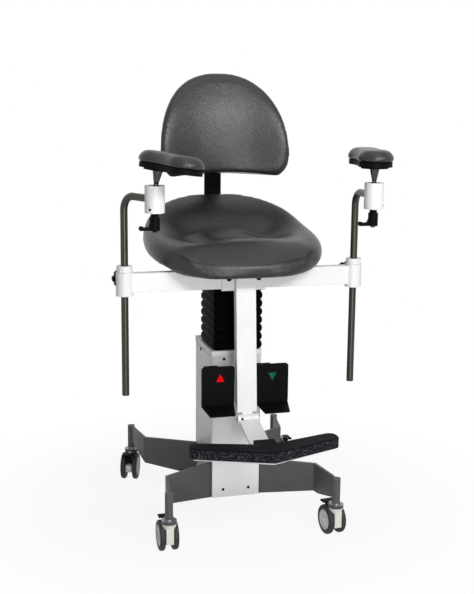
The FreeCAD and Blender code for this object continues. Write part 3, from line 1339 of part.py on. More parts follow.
# Arms: a bush in the collar, a bent tube that slides in it, a ball socket, and a pad on the ball's stem

def ball_lever(name, screw_length):
    """A clamp lever along its own +Z from the face it clamps on, with its handle along +Y."""
    lever = new_body(name + "_handle")
    tip = S.lever_hub_length
    reach = S.lever_reach
    high = S.lever_handle_height
    hub = S.lever_hub_diameter / 2
    side = [(0, tip), (reach - high / 3, tip), (reach, tip - high / 2), (reach - high / 3, tip - high * 1.2),
            (reach - high, tip - high * 1.1), (reach - high * 1.6, tip - high * 0.8),
            (hub + high / 3, tip - high), (hub, tip - high * 1.8), (0, tip - high * 1.8)]
    pad(lever, polygon(new_sketch(lever, name + "_side", "YZ_Plane"), side), S.lever_handle_width,
        "Symmetric")
    pad(lever, circle(new_sketch(lever, name + "_hub", "XY_Plane", S.lever_neck_length), 0, 0, hub),
        tip - S.lever_neck_length)
    pad(lever, circle(new_sketch(lever, name + "_neck", "XY_Plane", S.moving_gap), 0, 0,
                      S.lever_neck_diameter / 2),
        S.lever_neck_length)
    pad(lever, circle(new_sketch(lever, name + "_screw", "XY_Plane", -screw_length), 0, 0,
                      S.lever_screw_diameter / 2), screw_length + S.moving_gap * 2)
    button = rod(name + "_button", "z", S.lever_button_diameter / 2, tip, tip + S.lever_button_height)
    return group(name, lever, button)


def star_knob(name, screw_length):
    """A lobed clamp knob along its own +Z from the face it clamps on."""
    grip_low = S.star_knob_hub_length
    grip_high = grip_low + S.star_knob_height
    grip = rod(name + "_grip", "z", S.star_knob_diameter / 2, grip_low, grip_high)
    scallops = []
    count = int(S.star_knob_lobes.value)
    for index in range(count):
        angle = as_size(360.0 / count) * index
        reach = S.star_knob_diameter * 0.54
        scallops.append(rod(f"{name}_scallop_{index}", "z", S.star_knob_diameter / 9, grip_low, grip_high,
                            cosine(angle) * reach, sine(angle) * reach))
    return fuse(name, cut(name + "_lobes", grip, *scallops),
                rod(name + "_hub", "z", S.star_knob_diameter / 4, S.moving_gap, grip_low),
                rod(name + "_screw", "z", S.collar_screw_diameter / 2, -screw_length, grip_low))


def peanut(inset, height):
    """Outline of an arm pad: two round ends and a waist, about the stem's axis."""
    lobe = S.pad_lobe_radius.value - inset
    offset = S.pad_lobe_offset.value
    waist = S.pad_waist.value / 2 - inset
    neck = (waist ** 2 + offset ** 2 - lobe ** 2) / (2 * (lobe - waist))
    touch_x = lobe * (waist + neck) / (lobe + neck)
    touch_y = offset - lobe * offset / (lobe + neck)
    middle = -S.pad_stem_offset.value

    def at(x, y):
        return Vector(x, middle + y, height)

    slope = math.atan2(touch_y - offset, touch_x) / 2 + math.pi / 4
    bow = (lobe * math.cos(slope), offset + lobe * math.sin(slope))
    corners_of = [(touch_x, -touch_y), (touch_x, touch_y), (0, offset + lobe), (-touch_x, touch_y),
                  (-touch_x, -touch_y), (0, -offset - lobe)]
    bows = [(waist, 0), bow, (-bow[0], bow[1]), (-waist, 0), (-bow[0], -bow[1]), (bow[0], -bow[1])]
    arcs = []
    for index, through in enumerate(bows):
        start = corners_of[index]
        end = corners_of[(index + 1) % len(corners_of)]
        arcs.append(Part.Arc(at(*start), at(*through), at(*end)).toShape())
    return Part.Wire(arcs)


boss_low = S.stem_height + S.moving_gap
plate_low = boss_low + S.pad_boss_height
pad_low = plate_low + S.pad_plate_height


def pad_plate_shape():
    base = Part.Face(peanut(S.pad_plate_inset.value, plate_low.value))
    foot = Vector(0, 0, boss_low.value)
    boss = Part.makeCylinder(S.pad_boss_diameter.value / 2, S.pad_boss_height.value, foot)
    plate = base.extrude(Vector(0, 0, S.pad_plate_height.value)).fuse(boss)
    bore_radius = S.spigot_diameter.value / 2 + S.running_clearance.value
    bore_height = S.spigot_height.value + S.moving_gap.value * 2
    return plate.cut(Part.makeCylinder(bore_radius, bore_height, foot)).Solids[0]


def arm_pad_shape():
    low = pad_low.value
    side = S.pad_height.value - S.pad_crown.value
    levels = ((0, S.pad_tuck.value), (side * 0.45, 0), (side * 0.8, S.pad_tuck.value),
              (side + S.pad_crown.value * 0.55, S.pad_crown_inset.value / 2),
              (S.pad_height.value, S.pad_crown_inset.value))
    return Part.makeLoft([peanut(inset, low + rise) for rise, inset in levels], True, False).Solids[0]


for side, sign in SIDES:
    axis_x = S.arm_spread / 2 * sign
    arm_yaw = getattr(S, "arm_turn_" + side)
    pad_yaw = getattr(S, "pad_turn_" + side)
    pad_tilt = getattr(S, "pad_tilt_" + side)
    pad_roll = getattr(S, "pad_roll_" + side)
    arm_turn = Rotation(Z_AXIS, arm_yaw.value)
    ball_x = axis_x + S.arm_reach * sine(arm_yaw)
    ball_y = -S.beam_y - S.arm_reach * cosine(arm_yaw)

    sleeve = fuse(
        side + "_bush_body",
        rod(side + "_bush_sleeve", "z", S.bush_diameter / 2, collar_bottom + S.moving_gap,
            collar_top + S.moving_gap),
        rod(side + "_bush_ring", "z", S.bush_flange_diameter / 2, collar_top + S.moving_gap,
            collar_top + S.bush_flange_height))
    bush_bore = rod(side + "_bush_bore", "z", S.tube_diameter / 2 + S.running_clearance, collar_bottom,
                    collar_top + S.bush_flange_height)
    node(side + "_swivel_bush", put(cut(side + "_bush", sleeve, bush_bore), axis_x, -S.beam_y, 0, arm_turn))

    tube = new_body(side + "_bent_tube")
    tube_low = collar_bottom - S.tube_below
    spine = new_sketch(tube, side + "_tube_path", "YZ_Plane")
    rise_end = tube_run_z - S.tube_bend
    run_end = S.tube_seat - S.arm_reach
    rise = spine.addGeometry(Part.LineSegment(flat_vector(0, tube_low), flat_vector(0, rise_end)))
    bow_centre = flat_vector(-S.tube_bend, rise_end)
    bow = spine.addGeometry(Part.ArcOfCircle(Part.Circle(bow_centre, Z_AXIS, S.tube_bend.value), 0,
                                             math.pi / 2))
    run = spine.addGeometry(Part.LineSegment(flat_vector(-S.tube_bend, tube_run_z),
                                             flat_vector(run_end, tube_run_z)))
    spine.addConstraint(Sketcher.Constraint("Coincident", rise, 2, bow, 1))
    spine.addConstraint(Sketcher.Constraint("Coincident", bow, 2, run, 1))
    pin_point(spine, rise, 1, 0, tube_low)
    pin_point(spine, rise, 2, 0, rise_end)
    pin_point(spine, bow, 3, -S.tube_bend, rise_end)
    pin_point(spine, run, 1, -S.tube_bend)
    pin_point(spine, run, 2, run_end, tube_run_z)
    section = new_sketch(tube, side + "_tube_section", "XY_Plane", tube_low)
    circle(section, 0, 0, S.tube_diameter / 2)
    circle(section, 0, 0, S.tube_diameter / 2 - S.tube_wall)
    pipe = tube.newObject("PartDesign::AdditivePipe", side + "_tube_pipe")
    pipe.Profile = section
    pipe.Spine = spine
    node(side + "_arm_tube", put(tube, axis_x, -S.beam_y, 0, arm_turn))

    socket_top = tube_run_z + S.socket_above
    socket_bottom = socket_top - S.socket_height
    socket = cut(
        side + "_socket",
        rod(side + "_socket_body", "z", S.socket_diameter / 2, socket_bottom, socket_top, 0, -S.arm_reach),
        ball(side + "_socket_room", S.ball_diameter / 2 + S.ball_gap, 0, -S.arm_reach, ball_z),
        cone(side + "_socket_mouth", S.mouth_low_radius, S.mouth_top_radius, ball_z + S.mouth_low,
             socket_top,
             0, -S.arm_reach),
        rod(side + "_socket_bore", "z", S.lever_screw_diameter / 2 + S.running_clearance, socket_bottom,
            ball_z, 0,
            -S.arm_reach),
        rod(side + "_socket_entry", "y", S.tube_diameter / 2 + S.running_clearance, run_end, 0, 0,
            tube_run_z))
    node(side + "_ball_socket", put(socket, axis_x, -S.beam_y, 0, arm_turn))

    screw_reach = ball_z - S.ball_diameter / 2 - S.moving_gap - socket_bottom
    downwards = Rotation(Z_AXIS, S.lever_turn.value) * Rotation(X_AXIS, 180) * Rotation(Z_AXIS, 180)
    node(side + "_ball_lever", put(ball_lever(side + "_clamp", screw_reach), ball_x, ball_y, socket_bottom,
                                   downwards))
    tap_reach = S.collar_diameter / 2 - S.bush_diameter / 2 - S.moving_gap
    backwards = Rotation(X_AXIS, -90)
    node(side + "_collar_knob", put(star_knob(side + "_star", tap_reach),
                                    axis_x, S.collar_diameter / 2 - S.beam_y, collar_knob_z, backwards))

    pad_turn = (Rotation(Z_AXIS, pad_yaw.value) * Rotation(X_AXIS, pad_tilt.value)
                * Rotation(Y_AXIS, pad_roll.value))
    stem = fuse(
        side + "_stem",
        ball(side + "_stem_ball", S.ball_diameter / 2),
        rod(side + "_stem_neck", "z", S.neck_diameter / 2, 0, S.neck_reach),
        cone(side + "_stem_taper", S.neck_diameter / 2, S.stem_top_diameter / 2, S.neck_reach,
             S.stem_height),
        rod(side + "_stem_spigot", "z", S.spigot_diameter / 2, S.stem_height,
            S.stem_height + S.spigot_height))
    node(side + "_ball_stem", put(stem, ball_x, ball_y, ball_z, pad_turn))
    node(side + "_pad_plate", put(formed(side + "_plate_form", pad_plate_shape()), ball_x, ball_y, ball_z,
                                  pad_turn))
    node(side + "_arm_pad", put(formed(side + "_pad_form", arm_pad_shape()), ball_x, ball_y, ball_z,
                                pad_turn))

doc.recompute()

# Every feature and every piece is tested before anything is written
for item in doc.Objects:
    if "Invalid" in item.State or "Error" in item.State:
        raise RuntimeError(f"{item.Name} failed: {item.State}")
for item in nodes:
    if item.Shape.isNull() or not item.Shape.isValid() or not item.Shape.Solids:
        raise RuntimeError(f"{item.Label} has no valid solid")

os.makedirs("parts", exist_ok=True)
for item in nodes:
    item.Shape.exportStep(f"parts/{item.Label}.step")
print(len(nodes), "pieces written")
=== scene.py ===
"""The looks of the surgeon chair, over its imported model, in metres."""
import json
import math

import bmesh
import bpy
import numpy as np
from mathutils import Matrix, Vector
from mathutils.bvhtree import BVHTree


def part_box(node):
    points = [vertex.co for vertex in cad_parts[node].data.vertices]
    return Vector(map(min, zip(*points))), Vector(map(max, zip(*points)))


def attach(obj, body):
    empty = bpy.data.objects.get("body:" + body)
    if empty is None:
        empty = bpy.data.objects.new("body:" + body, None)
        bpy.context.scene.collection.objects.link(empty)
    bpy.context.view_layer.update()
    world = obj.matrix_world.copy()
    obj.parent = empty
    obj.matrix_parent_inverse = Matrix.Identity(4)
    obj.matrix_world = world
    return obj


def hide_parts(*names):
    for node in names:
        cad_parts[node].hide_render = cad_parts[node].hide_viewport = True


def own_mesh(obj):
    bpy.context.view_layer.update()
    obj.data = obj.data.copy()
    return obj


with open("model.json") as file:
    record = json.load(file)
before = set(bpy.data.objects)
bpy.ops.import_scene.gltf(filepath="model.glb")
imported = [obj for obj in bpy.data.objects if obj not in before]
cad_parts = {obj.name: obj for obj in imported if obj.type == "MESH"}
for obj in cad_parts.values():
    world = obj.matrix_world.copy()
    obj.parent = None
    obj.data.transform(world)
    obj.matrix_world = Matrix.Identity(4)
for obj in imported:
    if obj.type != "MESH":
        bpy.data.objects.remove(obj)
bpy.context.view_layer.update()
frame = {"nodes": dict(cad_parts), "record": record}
nodes = frame["nodes"]
joints = {joint["name"]: joint for joint in frame["record"]["behaviour"]["joints"]}
scene = bpy.context.scene
scene.view_settings.view_transform = "Standard"

CASTERS = ("front_left", "front_right", "rear_left", "rear_right")
SIDES = ("left", "right")
UP = Vector((0, 0, 1))


# Shader nodes


def combined(tree, operation, one, other):
    """The result of a math node on two sockets."""
    node = tree.nodes.new("ShaderNodeMath")
    node.operation = operation
    tree.links.new(one, node.inputs[0])
    tree.links.new(other, node.inputs[1])
    return node.outputs["Value"]


def ranged(tree, factor, start, end, low, high, interpolation="LINEAR"):
    """A factor that goes from start to end, brought to go from low to high."""
    node = tree.nodes.new("ShaderNodeMapRange")
    node.interpolation_type = interpolation
    node.inputs["From Min"].default_value = start
    node.inputs["From Max"].default_value = end
    node.inputs["To Min"].default_value = low
    node.inputs["To Max"].default_value = high
    tree.links.new(factor, node.inputs["Value"])
    return node.outputs["Result"]


# Finishes

# Soft noise stays mostly between these two values.
NOISE_LOW, NOISE_HIGH = 0.3, 0.7


def tint(colour, share):
    """A darker or lighter share of a colour."""
    return tuple(channel * share for channel in colour)


class Finish:
    """A procedural material: one shader, with detail that sits in the object's own coordinates."""

    def __init__(self, name, slot, colour, roughness, edge=0.0, metallic=0.0, specular=0.5):
        self.slot = slot
        self.material = bpy.data.materials.new(name)
        self.material.use_nodes = True
        self.tree = self.material.node_tree
        self.shader = self.tree.nodes["Principled BSDF"]
        self.shader.inputs["Base Color"].default_value = (*colour, 1)
        self.shader.inputs["Roughness"].default_value = roughness
        self.shader.inputs["Metallic"].default_value = metallic
        self.shader.inputs["Specular IOR Level"].default_value = specular
        self.place = self.add("ShaderNodeTexCoord").outputs["Object"]
        self.normal = None
        if edge:
            bevel = self.add("ShaderNodeBevel")
            bevel.samples = 4
            bevel.inputs["Radius"].default_value = edge
            self.normal = bevel.outputs["Normal"]
            self.link(self.normal, self.shader.inputs["Normal"])

    def add(self, kind):
        return self.tree.nodes.new(kind)

    def link(self, start, end):
        self.tree.links.new(start, end)

    def stretched(self, stretch):
        """The object's coordinates, scaled apart along each axis."""
        mapping = self.add("ShaderNodeMapping")
        mapping.inputs["Scale"].default_value = stretch
        self.link(self.place, mapping.inputs["Vector"])
        return mapping.outputs["Vector"]

    def noise(self, size, detail, stretch=(1, 1, 1), twist=0.0):
        """Soft noise, with features of about this size."""
        texture = self.add("ShaderNodeTexNoise")
        texture.inputs["Scale"].default_value = 1 / size
        texture.inputs["Detail"].default_value = detail
        texture.inputs["Distortion"].default_value = twist
        self.link(self.stretched(stretch), texture.inputs["Vector"])
        return texture.outputs["Fac"]

    def cells(self, size):
        """Cells of about this size: their distance from the lines between them."""
        texture = self.add("ShaderNodeTexVoronoi")
        texture.feature = "DISTANCE_TO_EDGE"
        texture.inputs["Scale"].default_value = 1 / size
        self.link(self.place, texture.inputs["Vector"])
        return texture.outputs["Distance"]

    def colours(self, factor, *stops):
        """Base colour from a factor: stops of (place, colour)."""
        ramp = self.add("ShaderNodeValToRGB")
        for element, (place, colour) in zip(ramp.color_ramp.elements, stops):
            element.position = place
            element.color = (*colour, 1)
        self.link(factor, ramp.inputs["Fac"])
        self.link(ramp.outputs["Color"], self.shader.inputs["Base Color"])

    def drift(self, noise, colour, darker, lighter):
        """Base colour that drifts with a noise between two shares of one colour."""
        self.colours(noise, (NOISE_LOW, tint(colour, darker)), (NOISE_HIGH, tint(colour, lighter)))

    def gloss(self, noise, low, high):
        """Roughness that drifts with a noise."""
        drift = ranged(self.tree, noise, NOISE_LOW, NOISE_HIGH, low, high)
        self.link(drift, self.shader.inputs["Roughness"])

    def bump(self, height, depth):
        """Relief of this depth from a height, over the relief that is there already."""
        node = self.add("ShaderNodeBump")
        node.inputs["Strength"].default_value = 1.0
        node.inputs["Distance"].default_value = depth
        self.link(height, node.inputs["Height"])
        if self.normal:
            self.link(self.normal, node.inputs["Normal"])
        self.normal = node.outputs["Normal"]
        self.link(self.normal, self.shader.inputs["Normal"])


def painted(name, slot, colour, roughness, edge, grain, depth, spread, specular=0.5):
    """Powder coat: a fine orange peel, and a faint cloudiness."""
    finish = Finish(name, slot, colour, roughness, edge, specular=specular)
    clouds = finish.noise(size=0.05, detail=5.0)
    finish.drift(clouds, colour, darker=1 - spread, lighter=1 + spread)
    finish.gloss(clouds, roughness - 0.05, roughness + 0.06)
    finish.bump(finish.noise(size=grain, detail=2.0), depth)
    return finish


def metal(name, slot, colour, roughness, streak, edge=0.0004):
    """Bare or plated metal, with fine marks along the way it was drawn or ground."""
    finish = Finish(name, slot, colour, roughness, edge, metallic=1.0)
    marks = finish.noise(size=0.02, detail=6.0, stretch=streak)
    finish.drift(marks, colour, darker=0.9, lighter=1.08)
    finish.gloss(marks, roughness * 0.8, roughness * 1.25)
    finish.bump(marks, depth=0.00003)
    return finish


def polished_tube(name, slot, colour, roughness):
    """Bright tube, polished around, so that its gloss runs along it."""
    finish = metal(name, slot, colour, roughness, streak=(2, 2, 40), edge=0.0)
    finish.shader.inputs["Anisotropic"].default_value = 0.9
    upright = finish.add("ShaderNodeCombineXYZ")
    upright.inputs["Z"].default_value = 1.0
    finish.link(upright.outputs["Vector"], finish.shader.inputs["Tangent"])
    return finish


def moulded(name, slot, colour, roughness, grain, depth, spread=0.12, specular=0.5):
    """Moulded plastic or rubber, with a fine texture."""
    finish = Finish(name, slot, colour, roughness, edge=0.0006, specular=specular)
    clouds = finish.noise(size=0.03, detail=5.0)
    finish.drift(clouds, colour, darker=1 - spread, lighter=1 + spread)
    finish.gloss(clouds, roughness - 0.06, roughness + 0.06)
    finish.bump(finish.noise(size=grain, detail=3.0), depth)
    return finish


def inlaid(name, colour, roughness, specular):
    """A small coloured moulding, set on black plastic."""
    return moulded(
        name, "black_plastic", colour, roughness,
        grain=0.002, depth=0.00002, spread=0.05, specular=specular,
    )


def leather(name, slot, colour, roughness):
    """Upholstery vinyl: pebbled grain, faint creases and a colour that clouds a little."""
    finish = Finish(name, slot, colour, roughness, specular=0.44)
    finish.drift(finish.noise(size=0.07, detail=6.0), colour, darker=0.9, lighter=1.12)
    finish.gloss(finish.noise(size=0.004, detail=4.0), roughness - 0.05, roughness + 0.07)
    finish.bump(finish.noise(size=0.05, detail=3.0, twist=0.6), depth=0.0008)
    creases = finish.noise(size=0.011, detail=3.0, stretch=(1, 1, 1.8), twist=1.2)
    finish.bump(creases, depth=0.00028)
    pebbles = ranged(finish.tree, finish.cells(size=0.0016), start=0.0, end=0.35, low=0.0, high=1.0)
    finish.bump(pebbles, depth=0.00009)
    return finish


def speckled(name, slot, colour, fleck, roughness):
    """Moulded rubber with pale flecks in its sides, and fewer on its top: a painted shade that darkens
    the top.
    """
    finish = Finish(name, slot, colour, roughness, edge=0.0008, specular=0.06)
    turn = finish.add("ShaderNodeSeparateXYZ")
    finish.link(finish.add("ShaderNodeTexCoord").outputs["Normal"], turn.inputs["Vector"])
    # Painted shade: the more a face looks up, the fewer flecks it gets, so the top renders darker.
    painted_top_shade = ranged(finish.tree, turn.outputs["Z"], start=0.3, end=0.7, low=1.0, high=0.6)
    flecks = combined(finish.tree, "MULTIPLY", finish.noise(size=0.0024, detail=2.0), painted_top_shade)
    finish.colours(flecks, (0.52, colour), (0.7, fleck))
    finish.gloss(finish.noise(size=0.02, detail=4.0), roughness - 0.05, roughness + 0.08)
    finish.bump(finish.noise(size=0.0012, detail=3.0), depth=0.00012)
    return finish


WHITE = painted(
    "white_coat", "white_paint", (0.78, 0.78, 0.79), roughness=0.36,
    edge=0.0012, grain=0.0016, depth=0.00002, spread=0.02,
)
DARK = painted(
    "dark_coat", "dark_paint", (0.058, 0.058, 0.061), roughness=0.5,
    edge=0.001, grain=0.0012, depth=0.00004, spread=0.08,
)
BLACK = painted(
    "black_coat", "black_paint", (0.0022, 0.0022, 0.0024), roughness=0.45,
    edge=0.001, grain=0.0012, depth=0.00003, spread=0.1, specular=0.03,
)
STEEL = polished_tube("polished_steel", "bright_steel", (0.06, 0.056, 0.047), roughness=0.3)
GREY = metal("plated_metal", "grey_metal", (0.30, 0.30, 0.31), roughness=0.34, streak=(12, 12, 12))
CHROME = metal("chrome_plate", "chrome_stem", (0.06, 0.064, 0.072), roughness=0.14, streak=(4, 4, 4))
VINYL = leather("grey_vinyl_cover", "grey_vinyl", (0.0135, 0.0135, 0.0142), roughness=0.3)
PLASTIC = moulded(
    "black_moulding", "black_plastic", (0.0028, 0.0029, 0.0032), roughness=0.48,
    grain=0.0012, depth=0.00006, specular=0.05,
)
RUBBER = moulded(
    "black_bellows", "black_rubber", (0.0012, 0.0012, 0.0014), roughness=0.6,
    grain=0.002, depth=0.00012, specular=0.02,
)
TREAD = speckled(
    "flecked_rubber", "black_rubber", (0.0026, 0.003, 0.0042), fleck=(0.09, 0.1, 0.115), roughness=0.6
)
CREAM = moulded(
    "cream_hood", "cream_plastic", (0.66, 0.66, 0.58), roughness=0.36,
    grain=0.002, depth=0.00004, spread=0.04,
)
TYRE = moulded(
    "grey_tyre_rubber", "grey_tyre", (0.024, 0.024, 0.026), roughness=0.62,
    grain=0.0015, depth=0.0001, specular=0.3,
)
HUB = moulded(
    "pale_hub", "grey_metal", (0.58, 0.58, 0.56), roughness=0.42,
    grain=0.002, depth=0.00004, spread=0.05,
)
RING = moulded(
    "swivel_seal", "black_plastic", (0.035, 0.04, 0.04), roughness=0.5, grain=0.002, depth=0.00004
)
RED = inlaid("red_sign", (0.66, 0.0008, 0.0015), roughness=0.4, specular=0.05)
GREEN = inlaid("green_sign", (0.005, 0.11, 0.08), roughness=0.4, specular=0.05)
BLUE = inlaid("blue_button", (0.02, 0.10, 0.42), roughness=0.36, specular=0.5)

BY_SLOT = {
    finish.slot: finish
    for finish in (WHITE, DARK, BLACK, STEEL, GREY, CHROME, VINYL, PLASTIC, RUBBER, CREAM, TYRE)
}


# Finishes of the CAD nodes

# Heights above the floor at which a caster's swivel ring and the stem over it begin.
RING_FOOT, STEM_FOOT = 0.0759, 0.0839
RING_RADIUS = 0.0195
BUTTON_HEIGHT = 0.004


def dress(node, *finishes, pick=None):
    """Gives a CAD node its finish, or several, chosen by pick from each face's middle."""
    mesh = nodes[node].data
    mesh.materials.clear()
    for finish in finishes:
        mesh.materials.append(finish.material)
    if pick:
        for face in mesh.polygons:
            face.material_index = pick(face.center)


def housing_part(stem, centre):
    """0 for the hood, 1 for the swivel ring, 2 for the stem above it."""
    if centre.z > STEM_FOOT:
        return 2
    if centre.z > RING_FOOT and (centre.xy - stem).length < RING_RADIUS:
        return 1
    return 0


for entry in frame["record"]["subparts"]:
    dress(entry["node"], BY_SLOT[entry["material_slot"]])

dress("footrest_pad", TREAD)

for corner in CASTERS:
    stem = Vector(joints[f"caster_{corner}_swivel"]["pos_m"]).xy
    dress(f"caster_{corner}_housing", CREAM, RING, GREY, pick=lambda centre: housing_part(stem, centre))

button_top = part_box("right_ball_lever")[0][2] + BUTTON_HEIGHT
dress("right_ball_lever", PLASTIC, BLUE, pick=lambda centre: int(centre.z < button_top))


# Meshes


def piece(name, vertices, faces, finish, body, smooth=True):
    """A mesh, placed in the chair's own frame, that rides on one of its bodies."""
    mesh = bpy.data.meshes.new(name)
    mesh.from_pydata(vertices, [], faces)
    mesh.materials.append(finish.material)
    for face in mesh.polygons:
        face.use_smooth = smooth
    item = bpy.data.objects.new(name, mesh)
    scene.collection.objects.link(item)
    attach(item, body)
    return item


def skin(rings, count):
    """Faces between rings of count points, each ring above the one before it."""
    faces = []
    for ring in range(rings - 1):
        low = ring * count
        high = low + count
        for point in range(count):
            beyond = (point + 1) % count
            faces.append((low + point, low + beyond, high + beyond, high + point))
    return faces


def turned(profile, place, steps):
    """A profile of (radius, height) points, turned about the Z axis of place and closed at both ends."""
    vertices = []
    for radius, height in profile:
        for step in range(steps):
            turn = math.tau * step / steps
            vertices.append(place @ Vector((radius * math.cos(turn), radius * math.sin(turn), height)))
    first = list(reversed(range(steps)))
    last = list(range(len(vertices) - steps, len(vertices)))
    return vertices, skin(len(profile), steps) + [first, last]


def facing(direction, point):
    """A place at point whose Z axis looks along direction."""
    turn = UP.rotation_difference(Vector(direction)).to_matrix().to_4x4()
    return Matrix.Translation(point) @ turn


def applied(item):
    """Puts what the modifiers make of a piece into its mesh."""
    made = bpy.data.meshes.new_from_object(item.evaluated_get(bpy.context.evaluated_depsgraph_get()))
    item.modifiers.clear()
    item.data = made


def vectors(items, name):
    """The vector of this name of each item, as rows."""
    flat = np.empty(len(items) * 3)
    items.foreach_get(name, flat)
    return flat.reshape(-1, 3)


def points_of(mesh):
    return vectors(mesh.vertices, "co")


def move_to(mesh, points):
    mesh.vertices.foreach_set("co", points.ravel())
    mesh.update()


def evened(mesh, field, rounds):
    """A field of vectors on a mesh, evened out over its neighbours."""
    ends = np.empty(len(mesh.edges) * 2, dtype=np.int64)
    mesh.edges.foreach_get("vertices", ends)
    here = np.concatenate((ends[::2], ends[1::2]))
    there = np.concatenate((ends[1::2], ends[::2]))
    count = np.bincount(here)[:, None]
    for _ in range(rounds):
        total = np.stack([np.bincount(here, column[there]) for column in field.T], axis=1)
        field = (field + total / count) / 2
    return field


# Upholstery


def inflated(item, cap):
    """Swells a piece as a filled cover: outwards only, by cap at most, and without small crumples."""
    pressure, quality, frames = 4.0, 4, 20
    crumple_rounds, swell_rounds = 25, 80
    start = points_of(item.data)
    outward = vectors(item.data.vertex_normals, "vector")
    cloth = item.modifiers.new("cover", "CLOTH")
    cloth.settings.quality = quality
    cloth.settings.use_pressure = True
    cloth.settings.uniform_pressure_force = pressure
    cloth.settings.effector_weights.gravity = 0
    for step in range(frames):
        scene.frame_set(step + 1)
    applied(item)
    scene.frame_set(1)
    moves = evened(item.data, points_of(item.data) - start, crumple_rounds)
    swell = np.maximum((moves * outward).sum(axis=1), 0)[:, None]
    swell = evened(item.data, swell, swell_rounds)
    move_to(item.data, start + outward * swell * min(1, cap / swell.max()))


def settled(mesh, surface, rest, proud, all_over):
    """Draws a cover onto its solid: all over, or only where it stands out by more than proud."""
    resting, sunk = 0.6, 0.0001
    for vertex in mesh.vertices:
        nearest, normal, _, _ = surface.find_nearest(vertex.co)
        above = (vertex.co - nearest).dot(normal)
        limit = -sunk if normal.dot(rest) > resting else proud
        if all_over or above > limit:
            vertex.co -= normal * (above - limit)


def upholstered(name, node, body, rest, voxel, rounds, cap, proud, soften, form=None):
    """A cushion from its CAD solid: remeshed, filled, flat where it rests, and then formed.

    The cover is evened out by rounds, swells by cap, stands out by proud at most and is softened last.
    """
    cover = 0.001
    solid = nodes[node].data
    surface = BVHTree.FromPolygons(
        [vertex.co for vertex in solid.vertices], [tuple(face.vertices) for face in solid.polygons]
    )
    item = bpy.data.objects.new(name, solid.copy())
    item.data.name = name
    scene.collection.objects.link(item)
    remesh = item.modifiers.new("even", "REMESH")
    remesh.mode = "VOXEL"
    remesh.voxel_size = voxel
    applied(item)
    settled(item.data, surface, rest, cover, all_over=True)
    move_to(item.data, evened(item.data, points_of(item.data), rounds))
    settled(item.data, surface, rest, cover, all_over=True)
    inflated(item, cap)
    settled(item.data, surface, rest, proud, all_over=False)
    if form:
        places = [form(vertex.co, vertex.normal) for vertex in item.data.vertices]
        move_to(item.data, np.array(places))
    move_to(item.data, evened(item.data, points_of(item.data), soften))
    item.modifiers.new("fine", "SUBSURF").render_levels = 1
    applied(item)
    item.data.materials.clear()
    item.data.materials.append(VINYL.material)
    for face in item.data.polygons:
        face.use_smooth = True
    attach(item, body)
    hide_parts(node)


# The seat's own frame: its middle, and its fall to the front.
SEAT = Matrix.Translation((0, -0.033, 0.723)) @ Matrix.Rotation(math.radians(9), 4, "X")
UNSEAT = SEAT.inverted()


def bell(value, middle, width):
    """1 at the middle, and softly less on both sides."""
    return math.exp(-(((value - middle) / width) ** 2))


def eased(value, start, end):
    """0 before start, 1 beyond end, and soft at both."""
    share = min(max((value - start) / (end - start), 0.0), 1.0)
    return share * share * (3 - 2 * share)


def lower_of(one, other, blend):
    """The lower of two heights, with a soft change from one to the other."""
    share = min(max(0.5 + 0.5 * (other - one) / blend, 0.0), 1.0)
    return one * share + other * (1 - share) - blend * share * (1 - share)


def hollow(place, middle_x, middle_y, depth):
    """How deep a thigh's hollow is at a place on the seat."""
    return depth * bell(place.x, middle_x, width=0.062) * bell(place.y, middle_y, width=0.075)


def front_band(place):
    """A low swelling ahead of the hollows, which runs back in the middle."""
    rise, middle, sweep = 0.003, -0.085, -0.3
    along = bell(place.y, middle + sweep * abs(place.x), width=0.04)
    return rise * along * bell(place.x, 0.0, width=0.15)


def fallen_edge(place):
    """The front edge of the seat: a slope that runs out into a round nose."""
    radius, low, slope, blend = 0.026, -0.016, 0.466, 0.012
    bow, foremost = 1.41, -0.211
    front = bow * place.x**2 + foremost
    inward = place.y - front
    height = place.z - low
    across = radius - inward
    if inward > radius * (1 - math.sin(math.atan(slope))):
        ceiling = low + radius * math.hypot(1, slope) + (inward - radius) * slope
        return Vector((place.x, place.y, lower_of(place.z, ceiling, blend)))
    reach = math.hypot(across, height)
    if height < 0 or reach < radius:
        return place
    return Vector((place.x, front + radius - across * radius / reach, low + height * radius / reach))


def seat_form(point, normal):
    """A hollow for each thigh, deeper on the right, a full rear rim and a front edge that falls away."""
    rim = 0.007
    place = UNSEAT @ point
    top = eased(place.z, start=0.002, end=0.014) * eased(normal.z, start=0.0, end=0.3)
    right = hollow(place, middle_x=0.105, middle_y=0.05, depth=0.024)
    left = hollow(place, middle_x=-0.1, middle_y=0.0, depth=0.016)
    rear = rim * eased(place.y, start=0.06, end=0.15)
    place.z += top * (rear + front_band(place) - right - left)
    edge = 1 - eased(abs(place.x), start=0.12, end=0.17)
    return SEAT @ place.lerp(fallen_edge(place), edge)


def back_form(point, normal):
    """The front crowned from top to bottom, most at the shoulder of the back."""
    shoulder, bend, crown = 1.055, 0.06, 0.0054
    drop = crown * (math.hypot(1, (point.z - shoulder) / bend) - 1)
    front = eased(-normal.y, start=-0.1, end=0.5)
    return point + Vector((0, drop * front, 0))


upholstered(
    "seat_upholstery", "seat_cushion", "carrier", rest=SEAT.to_3x3() @ -UP,
    voxel=0.005, rounds=6, cap=0.003, proud=0.004, soften=6, form=seat_form,
)
upholstered(
    "back_upholstery", "back_cushion", "back", rest=Vector((0, 0.98, -0.2)),
    voxel=0.005, rounds=8, cap=0.004, proud=0.005, soften=4, form=back_form,
)
for side in SIDES:
    upholstered(
        f"{side}_pad_upholstery", f"{side}_arm_pad", f"{side}_pad", rest=-UP,
        voxel=0.003, rounds=4, cap=0.002, proud=0.003, soften=14,
    )


# Bellows


